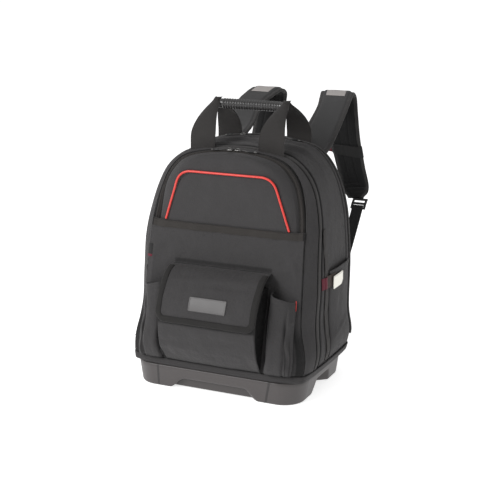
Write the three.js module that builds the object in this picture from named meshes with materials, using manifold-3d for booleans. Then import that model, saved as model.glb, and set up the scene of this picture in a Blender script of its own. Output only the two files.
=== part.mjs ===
// Tool backpack: a cloth bag on a moulded base tub, with a ribbed carry grip and two padded
// shoulder straps. Millimetres, +Z up, +X to the right seen from the front, front facing -Y.
import * as THREE from 'three';
import { mergeVertices } from 'three/addons/utils/BufferGeometryUtils.js';
import Module from 'manifold-3d';

// Driving dimensions.
const GAP = 0.4; // clearance between pieces that touch
const CLOTH = 2; // cloth wall
const TAPE = 1.2; // binding and label tape
const WEBBING = 2; // handle webbing

const BASE_WIDTH = 370; // across the rim
const BASE_DEPTH = 260;
const BASE_HEIGHT = 46;
const BASE_TAPER = 8; // each side, rim to foot
const BASE_CORNER = 52;
const BASE_WALL = 4;
const FLOOR_HEIGHT = 28; // underside of the floor
const FOOT_WIDTH = 22;
const FRONT_NOTCH_WIDTH = 188; // at the floor
const FRONT_NOTCH_TOP_WIDTH = 136;
const FRONT_NOTCH_HEIGHT = 23;
const STEP_SETBACK = 10; // of the panel in the front notch
const STEP_CLEARANCE = 3; // its lower edge above the ground
const SIDE_NOTCH_LENGTH = 92; // at the ground
const SIDE_NOTCH_TOP_LENGTH = 62;
const SIDE_NOTCH_OFFSET = 0; // centre behind the base's centre

const BODY_HEIGHT = 429; // base rim to top of the arch
const BODY_OVERHANG = 5; // past the base rim, each side
const REAR_INSET = 13; // rear seam ahead of the base's rear
const FRONT_INSET = 3; // cloth face behind the base's front
const BACK_ROUNDING = 8; // rear face behind the rear seam
const TOP_RISE = 7; // rear seam above the main zip
const MAIN_ZIP_WIDTH = 18;
const BINDING_HEIGHT = 14;
const PIPING_DIAMETER = 4;
const CORE_INSET = 60; // from the cloth to the block its inner side faces

const PANEL_LAYER = 2; // pocket panel cloth
const HEM_HEIGHT = 14;
const POUCH_WIDTH = 208;
const POUCH_DEPTH = 58; // greatest, off the pocket panel
const POUCH_PLEAT = 10; // inward fold of its side
const FLAP_WIDTH = 212;
const FLAP_CORNER = 20;
const FLAP_CLOTH = 2.4;
const FLAP_TAPE_WIDTH = 11;
const LABEL_WIDTH = 80;
const LABEL_HEIGHT = 28;
const LABEL_THICKNESS = 2;
const SLIM_INNER = 113; // from the middle to the pocket's inner edge
const SLIM_WIDTH = 50;
const SLIM_DEPTH = 27;
const LOOP_WIDTH = 5;
const LOOP_PLACE = 0.85; // across the pocket, of its width
const LOOP_LENGTH = 22;

const SIDE_TAPE_WIDTH = 17;
const SIDE_TAPE_BACK = 14; // behind the main zip at the body's middle
const SIDE_POCKET_DEPTH = 7;
const SIDE_POCKET_WIDTH = 108;
const SIDE_POCKET_HEIGHT = 178;
const SIDE_TAB_WIDTH = 22;
const CLIP_WEBBING_LENGTH = 18; // in front of the plate
const CLIP_HEIGHT = 26;
const CLIP_LENGTH = 50;
const CLIP_CHAMFER = 8;
const CLIP_PLATE = 1.6;

const PAD_WIDTH = 330;
const PAD_BOTTOM = 0.126 * BODY_HEIGHT; // above the base rim
const PAD_THICKNESS = 12;
const PAD_MARGIN = 16; // from pad edge to the rear seam
const PAD_BEVEL = 4;

const GRIP_LENGTH = 158;
const GRIP_RIBBED = 126;
const GRIP_DIAMETER = 21;
const GRIP_RIB = 1.2;
const GRIP_RIBS = 22;
const GRIP_RISE = 76; // above the arch
const GRIP_DEPTH = 0.245; // share of the body's depth ahead of the rear seam
const HANDLE_WIDTH = 54;
const HANDLE_SPREAD = 74; // leg centre from the middle

const STRAP_THICKNESS = 12;
const STRAP_SPREAD = 150; // outer edge from the middle, at its widest
const STRAP_REACH = 225; // behind the bag
const STRAP_TOP = 503; // above the base rim
const BAND_WIDTH = 22;
const TAB_LENGTH = 11;
const STRAP_WEBBING_WIDTH = 25;
const BUCKLE_WIDTH = 34;
const BUCKLE_LENGTH = 26;
const BUCKLE_THICKNESS = 5;
const BUCKLE_BAR = 5;

const REAR_SLIDER_PLACE = 44; // from the middle
const SLIDER_LENGTH = 13;
const SLIDER_WIDTH = 8;
const SLIDER_HEIGHT = 4;
const PULL_DIAMETER = 3;
const PULL_LENGTH = 34;

const HALF_WIDTH = BASE_WIDTH / 2 + BODY_OVERHANG;
const REAR_SEAM = BASE_DEPTH / 2 - REAR_INSET;
const BODY_DEPTH = BASE_DEPTH - REAR_INSET - FRONT_INSET;
const REAR_FACE = REAR_SEAM + BACK_ROUNDING;

// Tables, lengths as shares of the sizes above.
const table = (columns, rows) =>
  rows.map((row) => Object.fromEntries(columns.map((column, i) => [column, row[i]])));

// The bag's arch, from the base rim to the top: height of BODY_HEIGHT, width of HALF_WIDTH;
// insets of HALF_WIDTH towards the inside; depths of BODY_DEPTH, forward of the rear seam.
const ARCH = table(['height', 'width', 'panelInset', 'zipInset', 'panel', 'zip', 'main'], [
  [0.005, 0.985, 0.105, 0.03, 0.963, 0.935, 0.79],
  [0.15, 1.0, 0.14, 0.06, 0.925, 0.9, 0.755],
  [0.25, 1.0, 0.17, 0.09, 0.885, 0.87, 0.735],
  [0.48, 1.0, 0.19, 0.115, 0.8, 0.785, 0.702],
  [0.6, 0.985, 0.18, 0.11, 0.752, 0.743, 0.665],
  [0.68, 0.97, 0.175, 0.1, 0.712, 0.706, 0.625],
  [0.76, 0.932, 0.16, 0.09, 0.69, 0.665, 0.596],
  [0.83, 0.88, 0.14, 0.08, 0.678, 0.633, 0.571],
  [0.885, 0.815, 0.12, 0.065, 0.669, 0.612, 0.559],
  [0.93, 0.725, 0.1, 0.05, 0.661, 0.596, 0.55],
  [0.965, 0.605, 0.075, 0.035, 0.649, 0.58, 0.54],
  [0.985, 0.42, 0.045, 0.02, 0.637, 0.571, 0.531],
  [1.0, 0.0, 0.03, 0.015, 0.62, 0.563, 0.522],
]);
// Lean of the front face: height of BODY_HEIGHT, depth of BODY_DEPTH.
const FACE = table(['height', 'depth'], [
  [0.0, 1.0],
  [0.1, 0.963],
  [0.24, 0.898],
  [0.37, 0.837],
  [0.48, 0.796],
  [0.6, 0.759],
  [0.66, 0.743],
  [0.8, 0.739],
  [0.9, 0.737],
  [0.96, 0.715],
  [1.0, 0.67],
]);
// Pouch front: height of BODY_HEIGHT, proud of POUCH_DEPTH off the face.
const POUCH = table(['height', 'proud'], [
  [0.04, 0.06],
  [0.09, 0.4],
  [0.16, 0.72],
  [0.24, 0.93],
  [0.31, 0.95],
  [0.37, 0.78],
  [0.41, 0.56],
]);
// Flap from its seam over the pouch's mouth: same shares, outer side.
const FLAP = table(['height', 'proud'], [
  [0.474, -0.015],
  [0.471, 0.32],
  [0.455, 0.56],
  [0.42, 0.78],
  [0.37, 0.98],
  [0.31, 1.08],
  [0.25, 1.07],
]);
// Slim pockets: height of BODY_HEIGHT, bulge of SLIM_DEPTH, drop of the outer edge at the mouth.
const SLIM = table(['height', 'bulge'], [
  [0.04, 0.14],
  [0.1, 0.5],
  [0.2, 0.85],
  [0.3, 1.0],
  [0.4, 1.0],
]);
// Across a slim pocket, from its inner to its outer edge: place of SLIM_WIDTH, proud of the bulge.
const SLIM_ACROSS = table(['place', 'proud'], [
  [0.0, 0.03],
  [0.02, 0.55],
  [0.12, 0.97],
  [0.4, 1.0],
  [0.75, 0.78],
  [0.95, 0.4],
  [1.0, 0.03],
]);
// Handle legs: along from the seam to the grip (0 to 1), rise and width as shares, outward shift.
const FRONT_LEG = table(['back', 'rise', 'width', 'shift'], [
  [0.0, 0.007, 1.0, 0.0],
  [0.01, 0.2, 1.0, 0.0],
  [0.12, 0.42, 0.97, 0.0],
  [0.45, 0.72, 0.72, 0.02],
  [0.84, 0.9, 0.3, 0.03],
]);
const REAR_LEG = table(['back', 'rise', 'width', 'shift'], [
  [0.0, 0.0, 1.0, 0.05],
  [0.0, 0.12, 1.0, 0.05],
  [0.16, 0.42, 0.95, 0.05],
  [0.45, 0.74, 0.7, 0.03],
  [0.84, 0.9, 0.3, 0.0],
]);
// Shoulder strap: its inner and outer edge, sideways of STRAP_SPREAD, back from the bag's rear
// face of STRAP_REACH, up from the base rim of STRAP_TOP. It stands where it was left.
const STRAP = table(['innerX', 'innerY', 'innerZ', 'outerX', 'outerY', 'outerZ'], [
  [0.387, 0.0812, 0.779, 0.747, 0.0812, 0.74],
  [0.407, 0.151, 0.843, 0.78, 0.142, 0.779],
  [0.407, 0.338, 0.887, 0.8, 0.311, 0.819],
  [0.42, 0.578, 0.954, 0.86, 0.569, 0.942],
  [0.36, 0.742, 0.984, 0.827, 0.756, 0.984],
  [0.307, 0.88, 1, 0.787, 0.902, 1],
  [0.3, 0.956, 0.982, 0.78, 0.982, 0.978],
  [0.347, 0.969, 0.907, 0.807, 0.991, 0.895],
  [0.413, 0.951, 0.799, 0.86, 0.969, 0.793],
  [0.493, 0.969, 0.694, 0.927, 1, 0.674],
  [0.593, 0.951, 0.604, 0.993, 0.996, 0.592],
  [0.707, 0.853, 0.549, 1.027, 0.88, 0.549],
]);

// Small helpers.
const vec = (x, y, z) => new THREE.Vector3(x, y, z);
const mix = (a, b, t) => a + (b - a) * t;

// A smooth curve through one column of a table, read by another column.
function profile(rows, along, value) {
  const first = rows[0][along];
  const rising = rows[rows.length - 1][along] > first;
  return (at) => {
    const side = (row) => (rising ? row[along] < at : row[along] > at);
    let i = rows.findIndex((row) => !side(row));
    if (i === -1) return rows[rows.length - 1][value];
    i = Math.max(i, 1);
    const before = rows[Math.max(i - 2, 0)];
    const after = rows[Math.min(i + 1, rows.length - 1)];
    const [a, b] = [rows[i - 1], rows[i]];
    const span = b[along] - a[along];
    const t = THREE.MathUtils.clamp((at - a[along]) / span, 0, 1);
    const slopeA = ((b[value] - before[value]) / (b[along] - before[along])) * span;
    const slopeB = ((after[value] - a[value]) / (after[along] - a[along])) * span;
    const [t2, t3] = [t * t, t * t * t];
    return (
      (2 * t3 - 3 * t2 + 1) * a[value] + (t3 - 2 * t2 + t) * slopeA +
      (3 * t2 - 2 * t3) * b[value] + (t3 - t2) * slopeB
    );
  };
}

// A grid of points, rows along u and columns along v.
function grid(rowCount, columnCount, place) {
  return Array.from({ length: rowCount + 1 }, (_, i) =>
    Array.from({ length: columnCount + 1 }, (_, j) => place(i / rowCount, j / columnCount)));
}

// The same grid moved along its normals; ring says that columns close on themselves.
function offsetGrid(points, distance, ring = false) {
  const rows = points.length;
  const columns = points[0].length;
  const normalAt = (i, j) => {
    const up = points[Math.min(i + 1, rows - 1)][j].clone().sub(points[Math.max(i - 1, 0)][j]);
    const [before, after] = ring
      ? [(j - 1 + columns - 1) % (columns - 1), (j + 1) % (columns - 1)]
      : [Math.max(j - 1, 0), Math.min(j + 1, columns - 1)];
    const across = points[i][after].clone().sub(points[i][before]);
    return up.cross(across);
  };
  const normals = points.map((row, i) => row.map((_, j) => normalAt(i, j)));
  for (const i of [0, rows - 1]) {
    if (points[i][0].distanceTo(points[i][Math.floor(columns / 2)]) > 1e-6) continue;
    const near = normals[i === 0 ? 1 : rows - 2].reduce((sum, n) => sum.add(n), vec(0, 0, 0));
    normals[i].forEach((n) => n.copy(near));
  }
  return points.map((row, i) => row.map((p, j) =>
    p.clone().addScaledVector(normals[i][j].normalize(), distance)));
}

// One closed solid between two grids of the same size.
function between(outer, inner, ring = false) {
  const rows = outer.length;
  const columns = outer[0].length;
  const positions = [...outer.flat(), ...inner.flat()].flatMap((p) => [p.x, p.y, p.z]);
  const at = (side, i, j) => side * rows * columns + i * columns + j;
  const faces = [];
  const quad = (a, b, c, d) => faces.push(a, b, c, a, c, d);
  for (let i = 0; i < rows - 1; i += 1) {
    for (let j = 0; j < columns - 1; j += 1) {
      quad(at(0, i, j), at(0, i + 1, j), at(0, i + 1, j + 1), at(0, i, j + 1));
      quad(at(1, i, j), at(1, i, j + 1), at(1, i + 1, j + 1), at(1, i + 1, j));
    }
  }
  for (let j = 0; j < columns - 1; j += 1) {
    quad(at(0, 0, j), at(0, 0, j + 1), at(1, 0, j + 1), at(1, 0, j));
    quad(at(0, rows - 1, j), at(1, rows - 1, j), at(1, rows - 1, j + 1), at(0, rows - 1, j + 1));
  }
  for (let i = 0; !ring && i < rows - 1; i += 1) {
    quad(at(0, i, 0), at(1, i, 0), at(1, i + 1, 0), at(0, i + 1, 0));
    const last = columns - 1;
    quad(at(0, i, last), at(0, i + 1, last), at(1, i + 1, last), at(1, i, last));
  }
  return closed(positions, faces);
}

// Merges shared points, drops the slivers at a pole and turns the faces outwards.
function closed(positions, faces) {
  const raw = new THREE.BufferGeometry();
  raw.setAttribute('position', new THREE.Float32BufferAttribute(positions, 3));
  raw.setIndex(faces);
  const merged = mergeVertices(raw, 1e-3);
  const index = Array.from(merged.index.array);
  const kept = [];
  for (let k = 0; k < index.length; k += 3) {
    const [a, b, c] = index.slice(k, k + 3);
    if (a !== b && b !== c && c !== a) kept.push(a, b, c);
  }
  const point = (n) => vec().fromBufferAttribute(merged.attributes.position, n);
  let volume = 0;
  for (let k = 0; k < kept.length; k += 3) {
    volume += point(kept[k]).dot(point(kept[k + 1]).cross(point(kept[k + 2])));
  }
  if (volume < 0) kept.reverse();
  merged.setIndex(kept);
  return merged;
}

// A sheet of the given thickness behind a grid of points.
const sheet = (points, thickness, ring = false) =>
  between(points, offsetGrid(points, thickness, ring), ring);

// Materials.
const material = (color, roughness, metalness = 0) =>
  new THREE.MeshStandardMaterial({ color, roughness, metalness });
const CLOTH_BLACK = material(0x39383a, 0.85);
const TAPE_BLACK = material(0x2c2a29, 0.8);
const WEBBING_BLACK = material(0x383536, 0.75);
const RUBBER = material(0x4c4847, 0.6);
const PLASTIC = material(0x1c1c1d, 0.45);
const RED = material(0xd8372f, 0.6);
const DARK_RED = material(0x7a2230, 0.7);
const LABEL_GREY = material(0x5b5a5b, 0.6);
const STEEL = material(0xd9d5c8, 0.35, 0.8);
const MESH_BLACK = material(0x232324, 0.9);

const group = new THREE.Group();
function add(name, geometry, look) {
  const flat = geometry.index ? geometry.toNonIndexed() : geometry;
  flat.computeVertexNormals();
  const mesh = new THREE.Mesh(flat, look.clone());
  mesh.name = name;
  group.add(mesh);
}

// Joining and cutting.
const wasm = await Module();
wasm.setup();

function toSolid(geometry) {
  const bare = geometry.clone();
  bare.deleteAttribute('normal');
  bare.deleteAttribute('uv');
  const merged = mergeVertices(bare, 1e-4);
  return new wasm.Manifold(new wasm.Mesh({
    numProp: 3,
    vertProperties: Float32Array.from(merged.attributes.position.array),
    triVerts: Uint32Array.from(merged.index.array),
  }));
}

function fromSolid(solid) {
  const { vertProperties, triVerts } = solid.getMesh();
  return closed(Array.from(vertProperties), Array.from(triVerts));
}

// Base tub.
// A rounded rectangle, its corners as arcs, at one height.
function roundedLoop(halfWidth, halfDepth, corner, z, steps = 6) {
  const corners = [[1, 1, 0], [-1, 1, 1], [-1, -1, 2], [1, -1, 3]];
  const points = corners.flatMap(([sx, sy, quarter]) =>
    Array.from({ length: steps + 1 }, (_, i) => {
      const angle = ((quarter + i / steps) * Math.PI) / 2;
      return vec(sx * (halfWidth - corner) + corner * Math.cos(angle),
        sy * (halfDepth - corner) + corner * Math.sin(angle), z);
    }));
  return [...points, points[0].clone()];
}

// A solid through a stack of loops, closed by a fan below and above.
function stack(loops) {
  const ends = [loops[0], loops[loops.length - 1]].map((loop) => {
    const middle = vec(0, 0, loop[0].z);
    return loop.map(() => middle.clone());
  });
  const rows = [ends[0], ...loops, ends[1]];
  const columns = rows[0].length;
  const faces = [];
  for (let i = 0; i < rows.length - 1; i += 1) {
    for (let j = 0; j < columns - 1; j += 1) {
      const [a, b] = [i * columns + j, (i + 1) * columns + j];
      faces.push(a, a + 1, b + 1, a, b + 1, b);
    }
  }
  return closed(rows.flat().flatMap((p) => [p.x, p.y, p.z]), faces);
}

// Half width and depth of the base at a height, with its taper.
function baseAt(z, inset = 0) {
  const taper = BASE_TAPER * (1 - z / BASE_HEIGHT);
  const corner = Math.max(BASE_CORNER - taper - inset, 2);
  return [BASE_WIDTH / 2 - taper - inset, BASE_DEPTH / 2 - taper / 2 - inset, corner];
}
const baseLoop = (z, inset, at = z) => roundedLoop(...baseAt(at, inset), z);

// A prism across the base: a trapezoid, wider below, pushed along X or Y.
function trapezoid(bottom, top, height, length) {
  const shape = new THREE.Shape([
    new THREE.Vector2(-bottom / 2, -1), new THREE.Vector2(bottom / 2, -1),
    new THREE.Vector2(top / 2, height), new THREE.Vector2(-top / 2, height),
  ]);
  const prism = new THREE.ExtrudeGeometry(shape, { depth: length, bevelEnabled: false });
  return prism.rotateX(Math.PI / 2);
}

function buildBase() {
  const above = BASE_HEIGHT + 1;
  const floorTop = FLOOR_HEIGHT + BASE_WALL;
  const body = toSolid(stack([baseLoop(0, 2), baseLoop(4, 0), baseLoop(BASE_HEIGHT, 0)]));
  const inside = toSolid(stack([baseLoop(floorTop, BASE_WALL), baseLoop(above, BASE_WALL, BASE_HEIGHT)]));
  const under = toSolid(stack([baseLoop(-1, FOOT_WIDTH, 0), baseLoop(FLOOR_HEIGHT, FOOT_WIDTH)]));
  const across = BASE_WIDTH + 2;
  const sideNotch = toSolid(
    trapezoid(SIDE_NOTCH_LENGTH, SIDE_NOTCH_TOP_LENGTH, FLOOR_HEIGHT - GAP, across)
      .rotateZ(Math.PI / 2).translate(-across / 2, SIDE_NOTCH_OFFSET, 0));
  const frontNotch = toSolid(
    trapezoid(FRONT_NOTCH_WIDTH, FRONT_NOTCH_TOP_WIDTH, FRONT_NOTCH_HEIGHT, STEP_SETBACK + 2)
      .translate(0, -BASE_DEPTH / 2 + STEP_SETBACK, 0));
  const stepGap = toSolid(new THREE.BoxGeometry(FRONT_NOTCH_WIDTH, 2 * FOOT_WIDTH + 2, 2 * STEP_CLEARANCE)
    .translate(0, -BASE_DEPTH / 2, 0));
  const rearNotch = toSolid(
    trapezoid(FRONT_NOTCH_WIDTH, FRONT_NOTCH_TOP_WIDTH, FRONT_NOTCH_HEIGHT, FOOT_WIDTH + BASE_TAPER + 2)
      .translate(0, BASE_DEPTH / 2 + 2, 0));
  const cuts = [inside, under, sideNotch, frontNotch, stepGap, rearNotch];
  return fromSolid(cuts.reduce((solid, cut) => solid.subtract(cut), body));
}
add('base_tub', buildBase(), RUBBER);

// The bag's seams.
// Half of the arch from the table, in millimetres, with the inward direction in the XZ plane.
function archRows() {
  const rows = ARCH.map((row) => ({
    ...row, x: row.width * HALF_WIDTH, z: BASE_HEIGHT + GAP + row.height * BODY_HEIGHT,
  }));
  return rows.map((row, i) => {
    const [a, b] = [rows[Math.max(i - 1, 0)], rows[Math.min(i + 1, rows.length - 1)]];
    const along = new THREE.Vector2(b.x - a.x, b.z - a.z).normalize();
    const isTop = i === rows.length - 1;
    return { ...row, inX: isTop ? 0 : -along.y, inZ: isTop ? -1 : Math.min(along.x, 0) };
  });
}
const ROWS = archRows();

// A seam round the arch, from the right foot over the top to the left foot.
function seam(inset, depth, lift = () => 0) {
  const half = ROWS.map((row) => {
    const inward = inset(row) * HALF_WIDTH;
    const foot = row === ROWS[0];
    const z = row.z + (foot ? 0 : row.inZ * inward) + lift(row);
    return vec(row.x + row.inX * inward, REAR_SEAM - depth(row) * BODY_DEPTH, z);
  });
  const mirrored = half.slice(0, -1).reverse().map((p) => vec(-p.x, p.y, p.z));
  const curve = new THREE.CatmullRomCurve3([...half, ...mirrored], false, 'centripetal');
  return (s) => curve.getPoint(THREE.MathUtils.clamp(s, 0, 1));
}
const riseAt = (row) => TOP_RISE * Math.max(0, (row.height - 0.85) / 0.15);
const zipShare = MAIN_ZIP_WIDTH / BODY_DEPTH;
const seamPanel = seam((r) => r.panelInset, (r) => r.panel);
const seamZip = seam((r) => r.zipInset, (r) => r.zip);
const seamMain = seam(() => 0, (r) => r.main);
const seamMainRear = seam(() => 0, (r) => r.main - zipShare, (r) => 0.2 * riseAt(r));
const seamRear = seam(() => 0, () => 0, riseAt);

// The leaning front face, and heights as shares of the bag's own.
const faceDepth = profile(FACE, 'height', 'depth');
const heightShare = (z) => (z - BASE_HEIGHT) / BODY_HEIGHT;
const faceY = (z) => REAR_SEAM - faceDepth(heightShare(z)) * BODY_DEPTH;
const zAt = (share) => BASE_HEIGHT + share * BODY_HEIGHT;
const footMiddle = (y) => vec(0, y, BASE_HEIGHT + GAP + ROWS[0].height * BODY_HEIGHT);

// Bands and shells of the bag.
const ARCH_STEPS = 36;

// Into the bag from a place on its cloth: towards a smaller block inside it. Neighbouring pieces
// share this direction, so the clearance between them is the same through the cloth.
function inwards(p) {
  const core = vec(
    THREE.MathUtils.clamp(p.x, CORE_INSET - HALF_WIDTH, HALF_WIDTH - CORE_INSET),
    THREE.MathUtils.clamp(p.y, faceY(p.z) + CORE_INSET, REAR_SEAM - CORE_INSET),
    Math.min(p.z, zAt(1) - CORE_INSET));
  return core.sub(p).normalize();
}
const skin = (points) => between(points, points.map((row) =>
  row.map((p) => p.clone().addScaledVector(inwards(p), CLOTH))));

// A cloth band between two seams, kept half a clearance inside each.
function band(from, to, rowCount) {
  return skin(grid(rowCount, ARCH_STEPS, (u, s) => {
    const [a, b] = [from(s), to(s)];
    const trim = GAP / 2 / a.distanceTo(b);
    return a.clone().lerp(b, mix(trim, 1 - trim, u));
  }));
}
add('front_zip', band(seamPanel, seamZip, 1), TAPE_BLACK);
add('front_gusset', band(seamZip, seamMain, 2), CLOTH_BLACK);
add('main_zip', band(seamMain, seamMainRear, 1), TAPE_BLACK);

const EDGE_TURN = 9; // how late the face turns towards its edge seam
// The front face: from its edge seam in to the middle of its foot, leaning as the face does.
function frontPanelPoint(share, s) {
  const edge = seamPanel(s);
  const p = footMiddle(0).lerp(edge, share);
  p.y = mix(faceY(p.z), edge.y, share ** EDGE_TURN);
  return p;
}
function buildFrontPanel() {
  const shares = [1, 0.98, 0.95, 0.9, 0.8, 0.65, 0.45, 0.22, 0];
  const points = shares.map((share, i) => grid(1, ARCH_STEPS, (_, s) => {
    const p = frontPanelPoint(share, s);
    if (i === 0) p.lerp(frontPanelPoint(shares[1], s), 0.12);
    return p;
  })[0]);
  return skin(points);
}
add('front_panel', buildFrontPanel(), CLOTH_BLACK);

// The rounded turn from the rear seam on to the back: share of the way out from the foot's
// middle, depth of BACK_ROUNDING.
const BACK_ROWS = table(['share', 'depth'], [
  [1.0, 0.0],
  [0.985, 0.6],
  [0.955, 1.0],
  [0.7, 1.0],
  [0.35, 1.0],
  [0.0, 1.0],
]);
// The rear compartment: gusset from the main zip to the rear seam, then the flat back.
function buildMainShell() {
  const gusset = [0, 0.33, 0.67, 0.93].map((t) => grid(1, ARCH_STEPS, (_, s) => {
    const [a, b] = [seamMainRear(s), seamRear(s)];
    return a.lerp(b, Math.max(t, GAP / 2 / a.distanceTo(b)));
  })[0]);
  const back = BACK_ROWS.map(({ share, depth }) => grid(1, ARCH_STEPS, (_, s) => {
    const p = footMiddle(REAR_SEAM).lerp(seamRear(s), share);
    p.y = REAR_SEAM + BACK_ROUNDING * depth;
    return p;
  })[0]);
  return skin([...gusset, ...back]);
}
add('main_shell', buildMainShell(), CLOTH_BLACK);

// Tape round the foot of the bag, over the seam with the base.
function atHeight(curve, z) {
  let [low, high] = [0, 0.25];
  for (let i = 0; i < 24; i += 1) {
    const middle = (low + high) / 2;
    if (curve(middle).z < z) low = middle; else high = middle;
  }
  return curve(low);
}
function outlineAt(z) {
  const [panel, rear] = [atHeight(seamPanel, z), atHeight(seamRear, z)];
  const front = [0, 0.4, 0.8, 0.9, 0.95, 1].map((share) =>
    vec(share * panel.x, mix(faceY(z), panel.y, share ** EDGE_TURN), z));
  const side = [seamZip, seamMain, seamMainRear].map((curve) => atHeight(curve, z));
  const back = BACK_ROWS.map(({ share, depth }) =>
    vec(share * rear.x, REAR_SEAM + BACK_ROUNDING * depth, z));
  const half = [...front, ...side, ...back];
  return [...half, ...half.slice(0, -1).reverse().map((p) => vec(-p.x, p.y, p.z))];
}
function buildBinding() {
  const rows = [0, 0.5, 1].map((t) => outlineAt(BASE_HEIGHT + GAP + t * BINDING_HEIGHT));
  const clear = 3 * GAP;
  return between(offsetGrid(rows, -clear - TAPE, true), offsetGrid(rows, -clear, true), true);
}
add('base_binding', buildBinding(), TAPE_BLACK);

// A round cord along points, as an extruded circle.
function cordAlong(points, diameter, steps, sides = 8) {
  const curve = new THREE.CatmullRomCurve3(points, false, 'centripetal');
  const circle = new THREE.Shape().absarc(0, 0, diameter / 2, 0, Math.PI * 2);
  const cord = new THREE.ExtrudeGeometry(circle, {
    steps, curveSegments: sides / 2, extrudePath: curve, bevelEnabled: false,
  });
  return closed(Array.from(cord.attributes.position.array),
    Array.from({ length: cord.attributes.position.count }, (_, i) => i));
}

// Red piping: up from the pocket's hem, round two corners and across, just off the face.
const PIPING_FOOT_HALF = 134;
const PIPING_TOP_HALF = 84;
const PIPING_TOP = 0.9 * BODY_HEIGHT; // above the base rim
const PIPING_FOOT = 0.662 * BODY_HEIGHT;
const PIPING_CORNER = 26;
function buildRedPiping() {
  const foot = new THREE.Vector2(PIPING_FOOT_HALF, PIPING_FOOT);
  const corner = new THREE.Vector2(PIPING_TOP_HALF + PIPING_CORNER * 0.6, PIPING_TOP);
  const before = corner.clone().lerp(foot, PIPING_CORNER / corner.distanceTo(foot));
  const after = new THREE.Vector2(corner.x - PIPING_CORNER, PIPING_TOP);
  const bend = new THREE.QuadraticBezierCurve(before, corner, after);
  const right = [foot, foot.clone().lerp(before, 0.5), ...bend.getPoints(4)];
  const flat = [...right, ...right.slice().reverse().map((p) => new THREE.Vector2(-p.x, p.y))];
  const off = PIPING_DIAMETER / 2 + GAP;
  const points = flat.map((p) => vec(p.x, faceY(BASE_HEIGHT + p.y) - off, BASE_HEIGHT + p.y));
  return cordAlong(points, PIPING_DIAMETER, 44);
}
add('red_piping', buildRedPiping(), RED);

function buildRearPiping() {
  const count = 24;
  const off = PIPING_DIAMETER / 2 + GAP + 0.6;
  const points = Array.from({ length: count + 1 }, (_, i) => {
    const s = mix(0.02, 0.98, i / count);
    const p = seamRear(s);
    const outwards = p.clone().sub(footMiddle(REAR_SEAM).add(vec(0, 0, BODY_HEIGHT * 0.4)));
    outwards.y = 0;
    const sideways = vec(Math.sign(p.x), 0, 0);
    const flat = THREE.MathUtils.smoothstep(p.z, zAt(0.4), zAt(0.85));
    const away = sideways.lerp(outwards.normalize(), flat).normalize();
    return p.addScaledVector(away, off);
  });
  return cordAlong(points, PIPING_DIAMETER, 60, 6);
}
add('rear_piping', buildRearPiping(), TAPE_BLACK);

// Pocket panel on the lower face.
const PANEL_TOP_ROW = 4.85; // of the arch's rows, where the pocket ends at its hem
const rowCount = 2 * (ROWS.length - 1);
const PANEL_GAP = 1.0;

// Across the lower face at one row of the arch, v from -1 (left) to 1 (right).
function lowerFacePoint(row, v) {
  const s = row / rowCount;
  const [zip, panel] = [seamZip(s), seamPanel(s)];
  const reach = Math.abs(v);
  const edge = 0.9;
  if (reach > edge) {
    const p = panel.clone().lerp(zip, (reach - edge) / (1 - edge));
    return vec(Math.sign(v) * p.x, p.y, p.z);
  }
  const share = reach / edge;
  return vec(Math.sign(v) * share * panel.x, mix(faceY(panel.z), panel.y, share ** EDGE_TURN), panel.z);
}
const HALF_ACROSS = [0.3, 0.6, 0.78, 0.85, 0.88, 0.9, 0.95, 1];
const ACROSS = [...HALF_ACROSS.slice().reverse().map((v) => -v), 0, ...HALF_ACROSS];

// A layer over the lower face between two rows, its back off the face by a clearance.
function faceLayer(fromRow, toRow, rows, clear, thickness) {
  const base = Array.from({ length: rows + 1 }, (_, i) =>
    ACROSS.map((v) => lowerFacePoint(mix(fromRow, toRow, i / rows), v)));
  return between(offsetGrid(base, -clear - thickness), offsetGrid(base, -clear));
}
const bindingTop = BASE_HEIGHT + GAP + BINDING_HEIGHT;
const rowAt = (z) => {
  let row = 0;
  while (row < ROWS.length - 1 && seamPanel((row + 0.02) / rowCount).z < z) row += 0.02;
  return row;
};
const panelFoot = rowAt(bindingTop + 4 * GAP);
const hemRow = rowAt(seamPanel(PANEL_TOP_ROW / rowCount).z - HEM_HEIGHT);
add('pocket_panel', faceLayer(panelFoot, PANEL_TOP_ROW, 9, PANEL_GAP, PANEL_LAYER), CLOTH_BLACK);
const layerTop = PANEL_GAP + PANEL_LAYER;
add('pocket_hem', faceLayer(hemRow, PANEL_TOP_ROW, 1, layerTop + GAP, TAPE), TAPE_BLACK);

// Flap pouch.
const pouchFace = (z) => faceY(z) - layerTop - 4 * GAP;
const pouchProud = profile(POUCH, 'height', 'proud');

// Front and two pleated sides of the pouch at one height, from left to right.
function pouchRow(share) {
  const z = zAt(share);
  const back = pouchFace(z);
  const out = pouchProud(share) * POUCH_DEPTH;
  const half = POUCH_WIDTH / 2;
  const pleat = Math.min(POUCH_PLEAT, out * 0.4);
  const right = [
    vec(half * 0.5, back - out - 1, z), vec(half - 3, back - out, z), vec(half, back - out * 0.94, z),
    vec(half - pleat, back - out * 0.5, z), vec(half - 2, back, z),
  ];
  return [...right.slice().reverse().map((p) => vec(-p.x, p.y, p.z)), vec(0, back - out - 2, z), ...right];
}
add('flap_pouch', sheet(POUCH.map((row) => pouchRow(row.height)), CLOTH), CLOTH_BLACK);

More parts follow.
